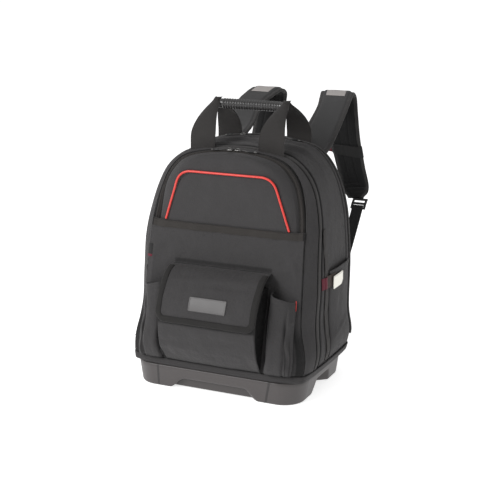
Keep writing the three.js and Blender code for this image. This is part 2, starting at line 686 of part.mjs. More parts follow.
// The flap's outer side: rows down its length, narrowing round its lower corners.
const flapPath = new THREE.CatmullRomCurve3(FLAP.map(({ height, proud }) =>
  vec(0, pouchFace(zAt(height)) - proud * POUCH_DEPTH, zAt(height))), false, 'centripetal');
const flapLength = flapPath.getLength();
function flapHalfWidth(fromEnd, inset) {
  const corner = FLAP_CORNER - inset;
  const down = Math.max(corner - (fromEnd - inset), 0);
  return FLAP_WIDTH / 2 - inset - corner + Math.sqrt(Math.max(corner * corner - down * down, 0));
}
function flapPoint(fromEnd, x) {
  const p = flapPath.getPointAt(THREE.MathUtils.clamp(1 - fromEnd / flapLength, 0, 1));
  return vec(x, p.y, p.z);
}
const cornerSteps = [0, 0.04, 0.15, 0.33, 0.6, 1];
const lengthSteps = [0.35, 0.5, 0.65, 0.8, 0.9, 1];
const flapEnds = [...cornerSteps.map((t) => t * FLAP_CORNER), ...lengthSteps.map((t) => t * flapLength)];
function buildFlap() {
  const points = flapEnds.map((fromEnd) => [-1, -0.6, -0.2, 0.2, 0.6, 1].map((v) =>
    flapPoint(fromEnd, v * flapHalfWidth(fromEnd, 0))));
  return sheet(points, FLAP_CLOTH);
}
add('pouch_flap', buildFlap(), CLOTH_BLACK);

// Tape along the flap's two sides and lower edge, on its outer side.
function buildFlapBinding() {
  const rim = (inset) => {
    const ends = flapEnds.slice(0, -2).map((t) => Math.max(t, inset));
    const scaled = flapEnds.slice(0, -2).map((t, i) =>
      (i < cornerSteps.length ? inset + cornerSteps[i] * (FLAP_CORNER - inset) : ends[i]));
    const right = scaled.map((fromEnd) => flapPoint(fromEnd, flapHalfWidth(fromEnd, inset)));
    const low = [0.5, 0].map((t) => flapPoint(inset, t * (FLAP_WIDTH / 2 - FLAP_CORNER)));
    const half = [...right.slice().reverse(), ...low];
    return [...half, ...half.slice(0, -1).reverse().map((p) => vec(-p.x, p.y, p.z))];
  };
  const points = [rim(0.5), rim(FLAP_TAPE_WIDTH)];
  return between(offsetGrid(points, GAP + TAPE), offsetGrid(points, GAP));
}
add('flap_binding', buildFlapBinding(), TAPE_BLACK);

// Bare rubber patch, flat on the flap, set off its curve by a small clearance.
const LABEL_SHIFT = 4;
const LABEL_FROM_END = 26; // its lower edge above the flap's end
function buildLabel() {
  const [low, high] = [LABEL_FROM_END, LABEL_FROM_END + LABEL_HEIGHT];
  const rows = [low, mix(low, high, 0.5), high].map((fromEnd) => [-1, 1].map((side) =>
    flapPoint(fromEnd, LABEL_SHIFT + side * LABEL_WIDTH / 2)));
  return between(offsetGrid(rows, -GAP - LABEL_THICKNESS), offsetGrid(rows, -GAP));
}
add('label_patch', buildLabel(), LABEL_GREY);

// Slim pockets.
const slimBulge = profile(SLIM, 'height', 'bulge');
const SLIM_MOUTH_DROP = 0.035; // of the body's height, outer edge below the inner
function slimPoint(share, across, side) {
  const drop = share === SLIM[SLIM.length - 1].height ? SLIM_MOUTH_DROP * across.place : 0;
  const z = zAt(share - drop);
  const x = SLIM_INNER + across.place * SLIM_WIDTH;
  const out = across.proud * slimBulge(share) * SLIM_DEPTH + GAP;
  return vec(side * x, faceY(z) - layerTop - out, z);
}
for (const [label, side] of [['right', 1], ['left', -1]]) {
  const points = SLIM.map((row) => SLIM_ACROSS.map((across) => slimPoint(row.height, across, side)));
  add(`slim_pocket_${label}`, sheet(points, side * CLOTH), CLOTH_BLACK);
}

// Red loop of tape on the outer corner of the right slim pocket's mouth.
const slimProud = profile(SLIM_ACROSS, 'place', 'proud');
function buildLoop() {
  const mouth = SLIM[SLIM.length - 1].height - SLIM_MOUTH_DROP;
  const points = grid(2, 1, (u, v) => {
    const place = mix(LOOP_PLACE, LOOP_PLACE + LOOP_WIDTH / SLIM_WIDTH, v);
    return slimPoint(mouth - (u * LOOP_LENGTH) / BODY_HEIGHT, { place, proud: slimProud(place) }, 1);
  });
  return between(offsetGrid(points, GAP + TAPE), offsetGrid(points, GAP));
}
add('red_loop', buildLoop(), RED);

// Small bare tag in the seam at the left of the front.
const TAG_ROW = 3.52;
const TAG_ROWS = 0.48;
function buildSeamTag() {
  const rows = [0, 1].map((t) => {
    const s = 1 - (TAG_ROW - t * TAG_ROWS) / rowCount;
    const [a, b] = [seamZip(s), seamPanel(s)];
    return [0.04, 0.74].map((u) => a.clone().lerp(b, u));
  });
  return between(offsetGrid(rows, layerTop + GAP + TAPE), offsetGrid(rows, layerTop + GAP));
}
add('seam_tag', buildSeamTag(), DARK_RED);

// Right side.
const sideX = (z) => {
  const s = rowAt(z) / rowCount;
  return seamRear(s).x;
};
// A patch on the right side: y and z ranges, its back off the side by a clearance.
function sidePatch(y0, y1, z0, z1, clear, thickness, rows = 4, swell = 0) {
  const base = grid(rows, 4, (u, v) => {
    const z = mix(z0, z1, u);
    const out = swell * Math.sin(Math.PI * v) ** 0.5 * Math.min(1, u * 4);
    return vec(sideX(z) + out, mix(y0, y1, v), z);
  });
  const outer = base.map((row) => row.map((p) => p.clone().add(vec(clear + thickness, 0, 0))));
  const inner = base.map((row) => row.map((p) => p.clone().add(vec(clear, 0, 0))));
  return between(outer, inner);
}
const sideFront = seamMainRear(3 / rowCount).y + SIDE_TAPE_BACK;
const sideBottom = bindingTop + 6;
const tapeEnd = sideFront + SIDE_TAPE_WIDTH;
const pocketStart = tapeEnd + 8 * GAP;
const pocketEnd = Math.min(pocketStart + SIDE_POCKET_WIDTH, REAR_SEAM - 8);
const pocketTop = sideBottom + SIDE_POCKET_HEIGHT;
const SIDE_CLEAR = 0.7;
add('side_tape', sidePatch(sideFront, tapeEnd, sideBottom, zAt(0.66), SIDE_CLEAR, TAPE, 6), WEBBING_BLACK);
add('side_pocket', sidePatch(pocketStart, pocketEnd, sideBottom, pocketTop,
  SIDE_CLEAR, CLOTH, 5, SIDE_POCKET_DEPTH), CLOTH_BLACK);
const pocketSkin = SIDE_CLEAR + CLOTH + SIDE_POCKET_DEPTH;
const webbingTop = pocketTop - 7;
const clipZ = webbingTop - 4 - CLIP_HEIGHT;
const clipStart = pocketStart + 4;
const webbingFoot = webbingTop - STRAP_WEBBING_WIDTH;
const webbingEnd = clipStart + CLIP_LENGTH * 0.4;
add('clip_webbing', sidePatch(clipStart - CLIP_WEBBING_LENGTH, webbingEnd, webbingFoot, webbingTop,
  pocketSkin + GAP, WEBBING, 2), WEBBING_BLACK);

// Steel clip plate: a thin plate with one chamfered corner, standing off the webbing.
function buildClip() {
  const plate = new THREE.Shape([
    new THREE.Vector2(0, 0), new THREE.Vector2(CLIP_LENGTH - CLIP_CHAMFER, 0),
    new THREE.Vector2(CLIP_LENGTH, CLIP_CHAMFER), new THREE.Vector2(CLIP_LENGTH, CLIP_HEIGHT),
    new THREE.Vector2(0, CLIP_HEIGHT),
  ]);
  const depth = CLIP_PLATE;
  const x = sideX(clipZ) + pocketSkin + 2 * GAP + WEBBING;
  return new THREE.ExtrudeGeometry(plate, { depth, bevelEnabled: false })
    .rotateX(Math.PI / 2).rotateZ(Math.PI / 2).translate(x, clipStart, clipZ);
}
add('clip_plate', buildClip(), STEEL);
const tabMiddle = sideFront - 1;
add('side_red_tab', sidePatch(tabMiddle - SIDE_TAB_WIDTH / 2, tabMiddle + SIDE_TAB_WIDTH / 2, webbingFoot,
  webbingTop - 2, SIDE_CLEAR + TAPE + GAP, TAPE, 2), DARK_RED);

// Padded back.
function buildBackPanel() {
  const low = BASE_HEIGHT + PAD_BOTTOM;
  const half = PAD_WIDTH / 2;
  const edge = Array.from({ length: 25 }, (_, i) => seamRear(mix(3 / rowCount, 1 - 3 / rowCount, i / 24)));
  const middle = vec(0, 0, low);
  const outline = edge.map((p) => {
    const flat = vec(p.x, 0, p.z);
    const pulled = flat.clone().addScaledVector(flat.clone().sub(middle).normalize(), -PAD_MARGIN);
    return new THREE.Vector2(THREE.MathUtils.clamp(pulled.x, -half, half), pulled.z);
  });
  const foot = [new THREE.Vector2(-half, low), new THREE.Vector2(half, low)];
  const shape = new THREE.Shape([...outline, ...foot]);
  return new THREE.ExtrudeGeometry(shape, {
    depth: PAD_THICKNESS - 2 * PAD_BEVEL, bevelThickness: PAD_BEVEL, bevelSize: PAD_BEVEL,
    bevelOffset: -PAD_BEVEL, bevelSegments: 2,
  }).rotateX(Math.PI / 2).translate(0, REAR_FACE + GAP + PAD_THICKNESS - PAD_BEVEL, 0);
}
add('back_panel', buildBackPanel(), MESH_BLACK);

// Carry handle.
const gripY = REAR_SEAM - GRIP_DEPTH * BODY_DEPTH;
const gripZ = zAt(1) + GRIP_RISE;
function buildGrip() {
  const [half, ribbed, r] = [GRIP_LENGTH / 2, GRIP_RIBBED / 2, GRIP_DIAMETER / 2];
  const ribs = Array.from({ length: GRIP_RIBS }, (_, i) => {
    const x = mix(-ribbed, ribbed, (i + 0.5) / GRIP_RIBS);
    const step = GRIP_RIBBED / GRIP_RIBS / 4;
    return [[r - GRIP_RIB, x - step], [r, x + step]];
  }).flat();
  const end = [[r - 1, half - 3], [r - 2, half], [0, half]];
  const outline = [...end.slice().reverse().map(([a, b]) => [a, -b]), ...ribs, ...end];
  const lathe = new THREE.LatheGeometry(outline.map(([a, b]) => new THREE.Vector2(a, b)), 10);
  return closed(Array.from(lathe.attributes.position.array), Array.from(lathe.index.array))
    .rotateZ(Math.PI / 2).translate(0, gripY, gripZ);
}
add('handle_grip', buildGrip(), PLASTIC);

// The roof's height over a place: from the main zip's seam, at the given x.
function roofHeight(curve, x) {
  const steps = 200;
  for (let i = 0; i < steps; i += 1) {
    const [a, b] = [curve(0.5 * (i / steps)), curve(0.5 * ((i + 1) / steps))];
    if (a.z > zAt(0.7) && a.x >= x && b.x <= x) return mix(a.z, b.z, (a.x - x) / Math.max(a.x - b.x, 1e-6));
  }
  return curve(0.5).z;
}

// A leg of webbing from the roof up to the grip's end.
function leg(rows, startY, side, footHeight) {
  const reach = gripY - startY;
  const points = rows.map((row, i) => {
    const width = row.width * HANDLE_WIDTH;
    const middle = HANDLE_SPREAD * (1 + row.shift) + (1 - row.width) * HANDLE_WIDTH * 0.02;
    const y = startY + row.back * reach;
    return [-1, -0.33, 0.33, 1].map((u) => {
      const x = middle + (u * width) / 2;
      const roof = footHeight(x);
      const z = mix(i === 0 ? roof : zAt(1), gripZ + GRIP_DIAMETER / 2, row.rise);
      return vec(side * x, y, z);
    });
  });
  return sheet(points, WEBBING * side);
}
const FRONT_LEG_DEPTH = 0.545; // share of the body's depth ahead of the rear seam
const frontLegY = REAR_SEAM - FRONT_LEG_DEPTH * BODY_DEPTH;
const rearLegY = REAR_SEAM + PIPING_DIAMETER / 2 + GAP; // just behind the rear piping
const SHOULDER_DROP = 2.8; // of the rounded turn behind the rear seam, at the leg
for (const [label, side] of [['right', 1], ['left', -1]]) {
  add(`front_handle_${label}`, leg(FRONT_LEG, frontLegY, side, (x) => roofHeight(seamMain, x) - GAP),
    WEBBING_BLACK);
  add(`rear_handle_${label}`, leg(REAR_LEG, rearLegY, side,
    (x) => roofHeight(seamRear, x) - SHOULDER_DROP + GAP), WEBBING_BLACK);
}

// Shoulder straps.
const strapCurve = (edge, side) => new THREE.CatmullRomCurve3(STRAP.map((row) => vec(
  side * row[`${edge}X`] * STRAP_SPREAD,
  REAR_FACE + row[`${edge}Y`] * STRAP_REACH,
  BASE_HEIGHT + row[`${edge}Z`] * STRAP_TOP)), false, 'centripetal');

// Points across the strap's outer side, at a share of its length.
function strapRow(side, t, reach = 1) {
  const [inner, outer] = [strapCurve('inner', side).getPoint(t), strapCurve('outer', side).getPoint(t)];
  return [-1, -0.5, 0, 0.5, 1].map((u) => inner.clone().lerp(outer, 0.5 + 0.5 * u * reach));
}
const STRAP_STEPS = 30;
const BAND_AT = 0.765; // of the strap's length
const PATCH_STEPS = [11, 12, 13]; // of the strap's steps
const WEBBING_PLACE = 132; // middle of the strap's webbing where it meets the bag
const WEBBING_END = 0.085; // of the body's height
const WEBBING_SAG = 12; // behind the bag, near its end
for (const [label, side] of [['right', 1], ['left', -1]]) {
  const rows = Array.from({ length: STRAP_STEPS + 1 }, (_, i) => strapRow(side, i / STRAP_STEPS));
  const halfPad = (side * STRAP_THICKNESS) / 2;
  add(`shoulder_strap_${label}`, between(offsetGrid(rows, halfPad), offsetGrid(rows, -halfPad)), MESH_BLACK);
  const stretch = strapCurve('inner', side).getPoint(BAND_AT - 0.03)
    .distanceTo(strapCurve('inner', side).getPoint(BAND_AT + 0.03)) / 0.06;
  const halfBand = BAND_WIDTH / 2 / stretch;
  const across = strapRow(side, BAND_AT);
  const halfStrap = across[0].distanceTo(across[4]) / 2;
  const bandRows = (beside) => [-1, 1].map((u) =>
    strapRow(side, BAND_AT + u * halfBand, 1 + beside / halfStrap));
  // the loop of tape round the strap: outer side, then back along its inner side
  const loop = (clear, beside) => {
    const rim = bandRows(beside);
    const [front, rear] = [offsetGrid(rim, clear), offsetGrid(rim, -clear)];
    return front.map((row, n) => [...row, ...rear[n].slice().reverse(), row[0].clone()]);
  };
  const half = STRAP_THICKNESS / 2 + GAP;
  const band = between(loop(half + TAPE, 2 * GAP + TAPE), loop(half, 2 * GAP), true);
  add(`strap_band_${label}`, band, WEBBING_BLACK);
  const tabBase = bandRows(3 * GAP + TAPE).map((row) => {
    const away = row[0].clone().sub(row[1]).normalize();
    return [row[0], row[0].clone().addScaledVector(away, TAB_LENGTH)];
  });
  add(`strap_tab_${label}`, sheet(tabBase, TAPE), DARK_RED);
  const patchRows = PATCH_STEPS.map((step) => strapRow(side, step / STRAP_STEPS, 0.6));
  const patchClear = -halfPad - side * 3 * GAP;
  const patch = between(offsetGrid(patchRows, patchClear - side * TAPE), offsetGrid(patchRows, patchClear));
  add(`strap_patch_${label}`, patch, TAPE_BLACK);

  // ladder buckle under the strap's end, and the webbing from it down to the bag
  const end = strapRow(side, 1)[3];
  const to = vec(side * WEBBING_PLACE, REAR_FACE + GAP + WEBBING, zAt(WEBBING_END));
  const slack = vec(0, WEBBING_SAG, 20);
  const down = to.clone().add(slack).sub(end).normalize();
  const frame = new THREE.Shape([
    new THREE.Vector2(-BUCKLE_WIDTH / 2, 0), new THREE.Vector2(BUCKLE_WIDTH / 2, 0),
    new THREE.Vector2(BUCKLE_WIDTH / 2, BUCKLE_LENGTH), new THREE.Vector2(-BUCKLE_WIDTH / 2, BUCKLE_LENGTH)]);
  const slot = (from) => new THREE.Path([
    new THREE.Vector2(-BUCKLE_WIDTH / 2 + BUCKLE_BAR, from),
    new THREE.Vector2(-BUCKLE_WIDTH / 2 + BUCKLE_BAR, from + BUCKLE_LENGTH / 2 - 1.5 * BUCKLE_BAR),
    new THREE.Vector2(BUCKLE_WIDTH / 2 - BUCKLE_BAR, from + BUCKLE_LENGTH / 2 - 1.5 * BUCKLE_BAR),
    new THREE.Vector2(BUCKLE_WIDTH / 2 - BUCKLE_BAR, from)]);
  frame.holes.push(slot(BUCKLE_BAR), slot(BUCKLE_LENGTH / 2 + BUCKLE_BAR / 2));
  const buckle = new THREE.ExtrudeGeometry(frame, { depth: BUCKLE_THICKNESS, bevelEnabled: false })
    .translate(0, 0, -BUCKLE_THICKNESS / 2);
  const xAxis = vec(1, 0, 0);
  const zAxis = xAxis.clone().cross(down).normalize();
  const turned = new THREE.Matrix4().makeBasis(xAxis.clone(), down.clone(), zAxis);
  const seat = end.clone().addScaledVector(down, STRAP_THICKNESS / 2 + 1);
  add(`strap_buckle_${label}`, buckle.applyMatrix4(turned).translate(seat.x, seat.y, seat.z), PLASTIC);
  const from = seat.clone().addScaledVector(down, BUCKLE_LENGTH + GAP);
  const halfway = from.clone().lerp(to, 0.5).add(vec(0, WEBBING_SAG / 3, 0));
  const route = new THREE.CatmullRomCurve3([from, halfway, to.clone().add(slack), to]);
  const webbing = grid(8, 1, (u, v) => route.getPoint(u).add(vec((v - 0.5) * STRAP_WEBBING_WIDTH, 0, 0)));
  add(`strap_webbing_${label}`, sheet(webbing, WEBBING), WEBBING_BLACK);
}

// Zip sliders and their cord pulls.
function slider(x, y, z) {
  const half = new THREE.Shape([
    new THREE.Vector2(-SLIDER_LENGTH / 2, -SLIDER_WIDTH / 4),
    new THREE.Vector2(-SLIDER_LENGTH / 4, -SLIDER_WIDTH / 2),
    new THREE.Vector2(SLIDER_LENGTH / 2, -SLIDER_WIDTH / 2),
    new THREE.Vector2(SLIDER_LENGTH / 2, SLIDER_WIDTH / 2),
    new THREE.Vector2(-SLIDER_LENGTH / 4, SLIDER_WIDTH / 2),
    new THREE.Vector2(-SLIDER_LENGTH / 2, SLIDER_WIDTH / 4)]);
  return new THREE.ExtrudeGeometry(half, { depth: SLIDER_HEIGHT, bevelEnabled: false }).translate(x, y, z);
}
const frontZipY = (seamPanel(0.5).y + seamZip(0.5).y) / 2;
const frontZipTop = Math.max(seamPanel(0.5).z, seamZip(0.5).z) - GAP;
const ZIPS = [
  { name: 'front', x: 9, y: frontZipY, z: frontZipTop },
  { name: 'rear', x: REAR_SLIDER_PLACE, y: REAR_SEAM - SLIDER_WIDTH,
    z: roofHeight(seamRear, REAR_SLIDER_PLACE - SLIDER_LENGTH / 2) },
];
for (const { name, x, y, z } of ZIPS) {
  for (const [label, side] of [['right', 1], ['left', -1]]) {
    add(`${name}_slider_${label}`, slider(side * x, y, z), PLASTIC);
    const start = side * (x + SLIDER_LENGTH / 2 + GAP);
    const rest = z + PULL_DIAMETER / 2 + 0.2;
    const route = [0, 0.35, 0.7, 1].map((t) =>
      vec(start + side * PULL_LENGTH * t, y - PULL_DIAMETER * Math.sin(Math.PI * t), rest));
    add(`${name}_pull_${label}`, cordAlong(route, PULL_DIAMETER, 8, 6), PLASTIC);
  }
}

// Origin: middle of the overall box, on the ground.
const middle = new THREE.Box3().setFromObject(group).getCenter(new THREE.Vector3());
group.position.set(-middle.x, -middle.y, 0);

export default group;
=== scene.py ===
# %% [markdown]
# # A tool backpack, piece by piece
# The bag is charcoal cloth sewn to a moulded tub, with a ribbed carry grip and two padded straps.
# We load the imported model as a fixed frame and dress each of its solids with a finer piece.

# %% Load the frame
import math

import bpy
from mathutils import Matrix, Vector, noise


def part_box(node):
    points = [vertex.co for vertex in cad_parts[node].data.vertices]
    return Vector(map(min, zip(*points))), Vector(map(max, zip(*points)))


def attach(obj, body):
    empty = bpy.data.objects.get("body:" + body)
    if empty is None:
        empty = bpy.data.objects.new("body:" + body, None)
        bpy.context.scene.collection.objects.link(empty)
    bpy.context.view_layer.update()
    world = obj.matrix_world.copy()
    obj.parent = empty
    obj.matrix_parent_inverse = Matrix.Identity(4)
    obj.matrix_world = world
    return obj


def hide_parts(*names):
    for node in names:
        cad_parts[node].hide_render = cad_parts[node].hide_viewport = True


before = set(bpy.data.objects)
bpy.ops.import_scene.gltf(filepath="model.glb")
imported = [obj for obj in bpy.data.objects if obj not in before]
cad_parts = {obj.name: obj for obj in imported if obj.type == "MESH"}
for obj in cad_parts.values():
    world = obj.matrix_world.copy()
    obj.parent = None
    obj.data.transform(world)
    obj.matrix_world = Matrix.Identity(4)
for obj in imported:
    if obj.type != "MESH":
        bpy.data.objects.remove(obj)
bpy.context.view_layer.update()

print("CAD nodes:", len(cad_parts))

# %% [markdown]
# ## Where we stand
# The camera looks a little down on the bag from its front right. A long lens keeps the sides
# nearly parallel, as a catalogue picture does. We place it first, so every later choice can be
# judged through it.

# %% Camera
BASE_MIDDLE = Vector([sum(corner[axis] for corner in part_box("base_tub")) / 2 for axis in (0, 1)])  # metres
TARGET = Vector((BASE_MIDDLE.x + 0.037, BASE_MIDDLE.y - 0.0325, 0.277))
AZIMUTH, ELEVATION = math.radians(24.7), math.radians(14.7)
DISTANCE = 2.33
back = Vector((math.sin(AZIMUTH) * math.cos(ELEVATION),
               -math.cos(AZIMUTH) * math.cos(ELEVATION), math.sin(ELEVATION)))
bpy.ops.object.camera_add(location=TARGET + back * DISTANCE)
camera = bpy.context.object
camera.rotation_euler = back.to_track_quat("Z", "Y").to_euler()
camera.data.lens = 84.9
camera.data.sensor_width = 36
bpy.context.scene.camera = camera
print("camera at", [round(x, 3) for x in camera.location])

# %% [markdown]
# ## A pale floor and soft light
# A studio shot of dark cloth needs a bright room: a strong soft light at the front left, two
# weaker ones and a pale world, so that folds show as gentle greys. The paper on the floor is lit
# from behind, as a light table is, so that it stays white without a shadow.

# %% Floor and lights
bpy.ops.object.select_all(action="DESELECT")
bpy.ops.mesh.primitive_plane_add(size=60, location=(0, 0, -0.0005))
floor = bpy.context.object
floor.name = "studio_floor"
paper = bpy.data.materials.new("pale paper")
paper.use_nodes = True
paper.node_tree.nodes["Principled BSDF"].inputs["Base Color"].default_value = (0.93, 0.93, 0.93, 1)
paper.node_tree.nodes["Principled BSDF"].inputs["Roughness"].default_value = 0.9
paper.node_tree.nodes["Principled BSDF"].inputs["Emission Color"].default_value = (1, 1, 1, 1)
paper.node_tree.nodes["Principled BSDF"].inputs["Emission Strength"].default_value = 0.7
floor.data.materials.append(paper)


def soft_light(name, place, size, power):
    bpy.ops.object.light_add(type="AREA", location=place)
    light = bpy.context.object
    light.name = name
    light.data.size = size
    light.data.energy = power
    light.rotation_euler = (Vector((0, -0.1, 0.25)) - Vector(place)).to_track_quat("-Z", "Y").to_euler()


soft_light("key_left", (-1.7, -2.6, 2.0), 1.5, 88)
soft_light("fill_right", (2.6, -1.8, 1.2), 2.2, 3)
soft_light("overhead", (0.1, 0.3, 3.0), 2.6, 14)
world = bpy.data.worlds.new("white room")
bpy.context.scene.world = world
world.use_nodes = True
world.node_tree.nodes["Background"].inputs[0].default_value = (1, 1, 1, 1)
world.node_tree.nodes["Background"].inputs[1].default_value = 0.42
bpy.context.scene.view_settings.view_transform = "Standard"

# %% [markdown]
# ## Sizes
# Blender works in metres, but a bag is easier to think of in millimetres from the middle of its
# base. These are the frame's own sizes; `metres` turns a place into Blender's.

# %% Sizes and small sums
HALF_WIDTH, BASE_TOP, BODY_HEIGHT, BODY_DEPTH = 190.0, 46.4, 429.0, 244.0
REAR_SEAM, REAR_FACE, TOP_RISE, ZIP_WIDTH = 117.0, 125.0, 7.0, 18.0
RIM_HEIGHT = 46.0


def metres(p):
    return Vector((p[0] / 1000 + BASE_MIDDLE.x, p[1] / 1000 + BASE_MIDDLE.y, p[2] / 1000))


def mix(a, b, t):
    return a + (b - a) * t


def clamp(x, low=0.0, high=1.0):
    return max(low, min(high, x))


def smooth(x, low, high):
    t = clamp((x - low) / (high - low))
    return t * t * (3 - 2 * t)


def hump(x, middle, reach):
    return math.exp(-((x - middle) / reach) ** 2)


def profile(rows, value):
    """A smooth curve through the rows' first column, giving column number value."""
    rising = rows[-1][0] > rows[0][0]

    def at(x):
        i = 1
        while i < len(rows) - 1 and (rows[i][0] < x if rising else rows[i][0] > x):
            i += 1
        before, a, b, after = rows[max(i - 2, 0)], rows[i - 1], rows[i], rows[min(i + 1, len(rows) - 1)]
        span = b[0] - a[0]
        t = clamp((x - a[0]) / span)
        slope_a = (b[value] - before[value]) / (b[0] - before[0]) * span
        slope_b = (after[value] - a[value]) / (after[0] - a[0]) * span
        return ((2 * t**3 - 3 * t**2 + 1) * a[value] + (t**3 - 2 * t**2 + t) * slope_a
                + (3 * t**2 - 2 * t**3) * b[value] + (t**3 - t**2) * slope_b)

    return at


def row_at(rows, share):
    """The values part way down a table whose rows are evenly spaced."""
    x = share * (len(rows) - 1)
    i = min(int(x), len(rows) - 2)
    return [mix(a, b, x - i) for a, b in zip(rows[i], rows[i + 1])]


def curve_through(points, samples):
    """Evenly numbered samples of a rounded curve through the points (centripetal Catmull-Rom)."""
    points = [Vector(p) for p in points]
    found = []
    last = len(points) - 1
    for k in range(samples + 1):
        place = k / samples * last
        i = min(int(place), last - 1)
        t = place - i
        p1, p2 = points[i], points[i + 1]
        p0 = points[i - 1] if i > 0 else p1 * 2 - p2
        p3 = points[i + 2] if i + 2 <= last else p2 * 2 - p1
        d0, d1, d2 = [max((q - p).length, 1e-6) ** 0.5 for p, q in ((p0, p1), (p1, p2), (p2, p3))]
        m1 = ((p1 - p0) / d0 - (p2 - p0) / (d0 + d1) + (p2 - p1) / d1) * d1
        m2 = ((p2 - p1) / d1 - (p3 - p1) / (d1 + d2) + (p3 - p2) / d2) * d1
        found.append(p1 + m1 * t + (p2 * 3 - p1 * 3 - m1 * 2 - m2) * t**2
                     + (p1 * 2 - p2 * 2 + m1 + m2) * t**3)
    return found


def along(samples, t):
    """The place on a list of samples at share t."""
    x = clamp(t) * (len(samples) - 1)
    i = min(int(x), len(samples) - 2)
    return samples[i].lerp(samples[i + 1], x - i)


# %% [markdown]
# ## The bag's seams
# Every cloth panel ends in a seam, so the seams are the skeleton. Each one runs up the right
# side, over the arch and down the left. A row of the table gives one height: how wide the arch
# is, how far in the two front seams lie, and how far forward each seam sits.

# %% Seams
# height, width, panel inset, zip inset, panel depth, zip depth, main depth
ARCH = [
    (0.005, 0.985, 0.105, 0.03, 0.963, 0.935, 0.79),
    (0.15, 1.0, 0.14, 0.06, 0.925, 0.9, 0.755),
    (0.25, 1.0, 0.17, 0.09, 0.885, 0.87, 0.735),
    (0.48, 1.0, 0.19, 0.115, 0.8, 0.785, 0.702),
    (0.6, 0.985, 0.18, 0.11, 0.752, 0.743, 0.665),
    (0.68, 0.97, 0.175, 0.1, 0.712, 0.706, 0.625),
    (0.76, 0.932, 0.16, 0.09, 0.69, 0.665, 0.596),
    (0.83, 0.88, 0.14, 0.08, 0.678, 0.633, 0.571),
    (0.885, 0.815, 0.12, 0.065, 0.669, 0.612, 0.559),
    (0.93, 0.725, 0.1, 0.05, 0.661, 0.596, 0.55),
    (0.965, 0.605, 0.075, 0.035, 0.649, 0.58, 0.54),
    (0.985, 0.42, 0.045, 0.02, 0.637, 0.571, 0.531),
    (1.0, 0.0, 0.03, 0.015, 0.62, 0.563, 0.522),
]
# height, depth of the leaning front
FACE = [
    (0.0, 1.0), (0.1, 0.963), (0.24, 0.898), (0.37, 0.837), (0.48, 0.796), (0.6, 0.759),
    (0.66, 0.743), (0.8, 0.739), (0.9, 0.737), (0.96, 0.715), (1.0, 0.67),
]
SEAM_SAMPLES = 480
ARCH_SPANS = 2 * (len(ARCH) - 1)  # along a whole seam


def seam(inset, depth, lift):
    places = [(row[1] * HALF_WIDTH, BASE_TOP + row[0] * BODY_HEIGHT) for row in ARCH]
    half = []
    for i, row in enumerate(ARCH):
        (x0, z0), (x1, z1) = places[max(i - 1, 0)], places[min(i + 1, len(ARCH) - 1)]
        run = Vector((x1 - x0, z1 - z0)).normalized()
        top = i == len(ARCH) - 1
        in_x, in_z = (0, -1) if top else (-run.y, 0 if i == 0 else min(run.x, 0))
        inward = inset(row) * HALF_WIDTH
        half.append((places[i][0] + in_x * inward, REAR_SEAM - depth(row) * BODY_DEPTH,
                     places[i][1] + in_z * inward + lift(row)))
    return curve_through(half + [(-x, y, z) for x, y, z in reversed(half[:-1])], SEAM_SAMPLES)


def rise(row):
    return TOP_RISE * max(0, (row[0] - 0.85) / 0.15)


PANEL_SEAM = seam(lambda r: r[2], lambda r: r[4], lambda r: 0)
ZIP_SEAM = seam(lambda r: r[3], lambda r: r[5], lambda r: 0)
MAIN_SEAM = seam(lambda r: 0, lambda r: r[6], lambda r: 0)
MAIN_REAR_SEAM = seam(lambda r: 0, lambda r: r[6] - ZIP_WIDTH / BODY_DEPTH, lambda r: 0.2 * rise(r))
BACK_SEAM = seam(lambda r: 0, lambda r: 0, rise)
face_depth = profile(FACE, 1)


def height_at(share):
    return RIM_HEIGHT + share * BODY_HEIGHT


def face_y(z):
    return REAR_SEAM - face_depth((z - RIM_HEIGHT) / BODY_HEIGHT) * BODY_DEPTH


def into_bag(p):
    core = Vector((clamp(p.x, -130, 130), clamp(p.y, face_y(p.z) + 60, 57), min(p.z, height_at(1) - 60)))
    return (core - p).normalized()


def share_at(samples, z):
    """Where along a seam its right half reaches height z."""
    low, high = 0.0, 0.3
    for _ in range(24):
        middle = (low + high) / 2
        low, high = (middle, high) if along(samples, middle).z < z else (low, middle)
    return low


print("arch top", round(MAIN_SEAM[SEAM_SAMPLES // 2].z), "mm")

# %% [markdown]
# ## Cloth gives way
# Nothing sewn is quite straight. `sag` lets the foot of the bag belly out over the tub, and adds
# slow waves of a millimetre or so. All cloth pieces pass through it, so their seams still meet.


# %% How the cloth sags
def belly_at(x, z):
    return 7.0 * hump(z, 88, 34) * (abs(x) / HALF_WIDTH) ** 3 * smooth(z, 46, 66)


def sag(p):
    wave = noise.noise(Vector((p.x / 75, p.y / 90, p.z / 60)) + Vector((3.1, 0.4, 7.7)))
    wave2 = noise.noise(Vector((p.x / 30, p.y / 34, p.z / 48)) + Vector((9.1, 2.4, 1.7)))
    free = smooth(p.z, 60, 100)
    out = -into_bag(p)
    belly = Vector((math.copysign(belly_at(p.x, p.z), p.x), 0, 0))
    return p + belly + out * (1.5 * wave + 0.6 * wave2) * free


# %% [markdown]
# ## Laying out a piece of cloth
# A sheet starts as Blender's flat grid. `place(u, v)` says where each of its points goes, u from
# side to side and v from foot to top. Its UV map is stretched to real metres, so that a weave
# drawn on it later has the same thread size on every piece. Solidify then gives it a wall.


# %% Grid, wall and finish
def deselect():
    if bpy.context.object and bpy.context.object.mode != "OBJECT":
        bpy.ops.object.mode_set(mode="OBJECT")
    bpy.ops.object.select_all(action="DESELECT")


def choose(piece):
    deselect()
    piece.select_set(True)
    bpy.context.view_layer.objects.active = piece


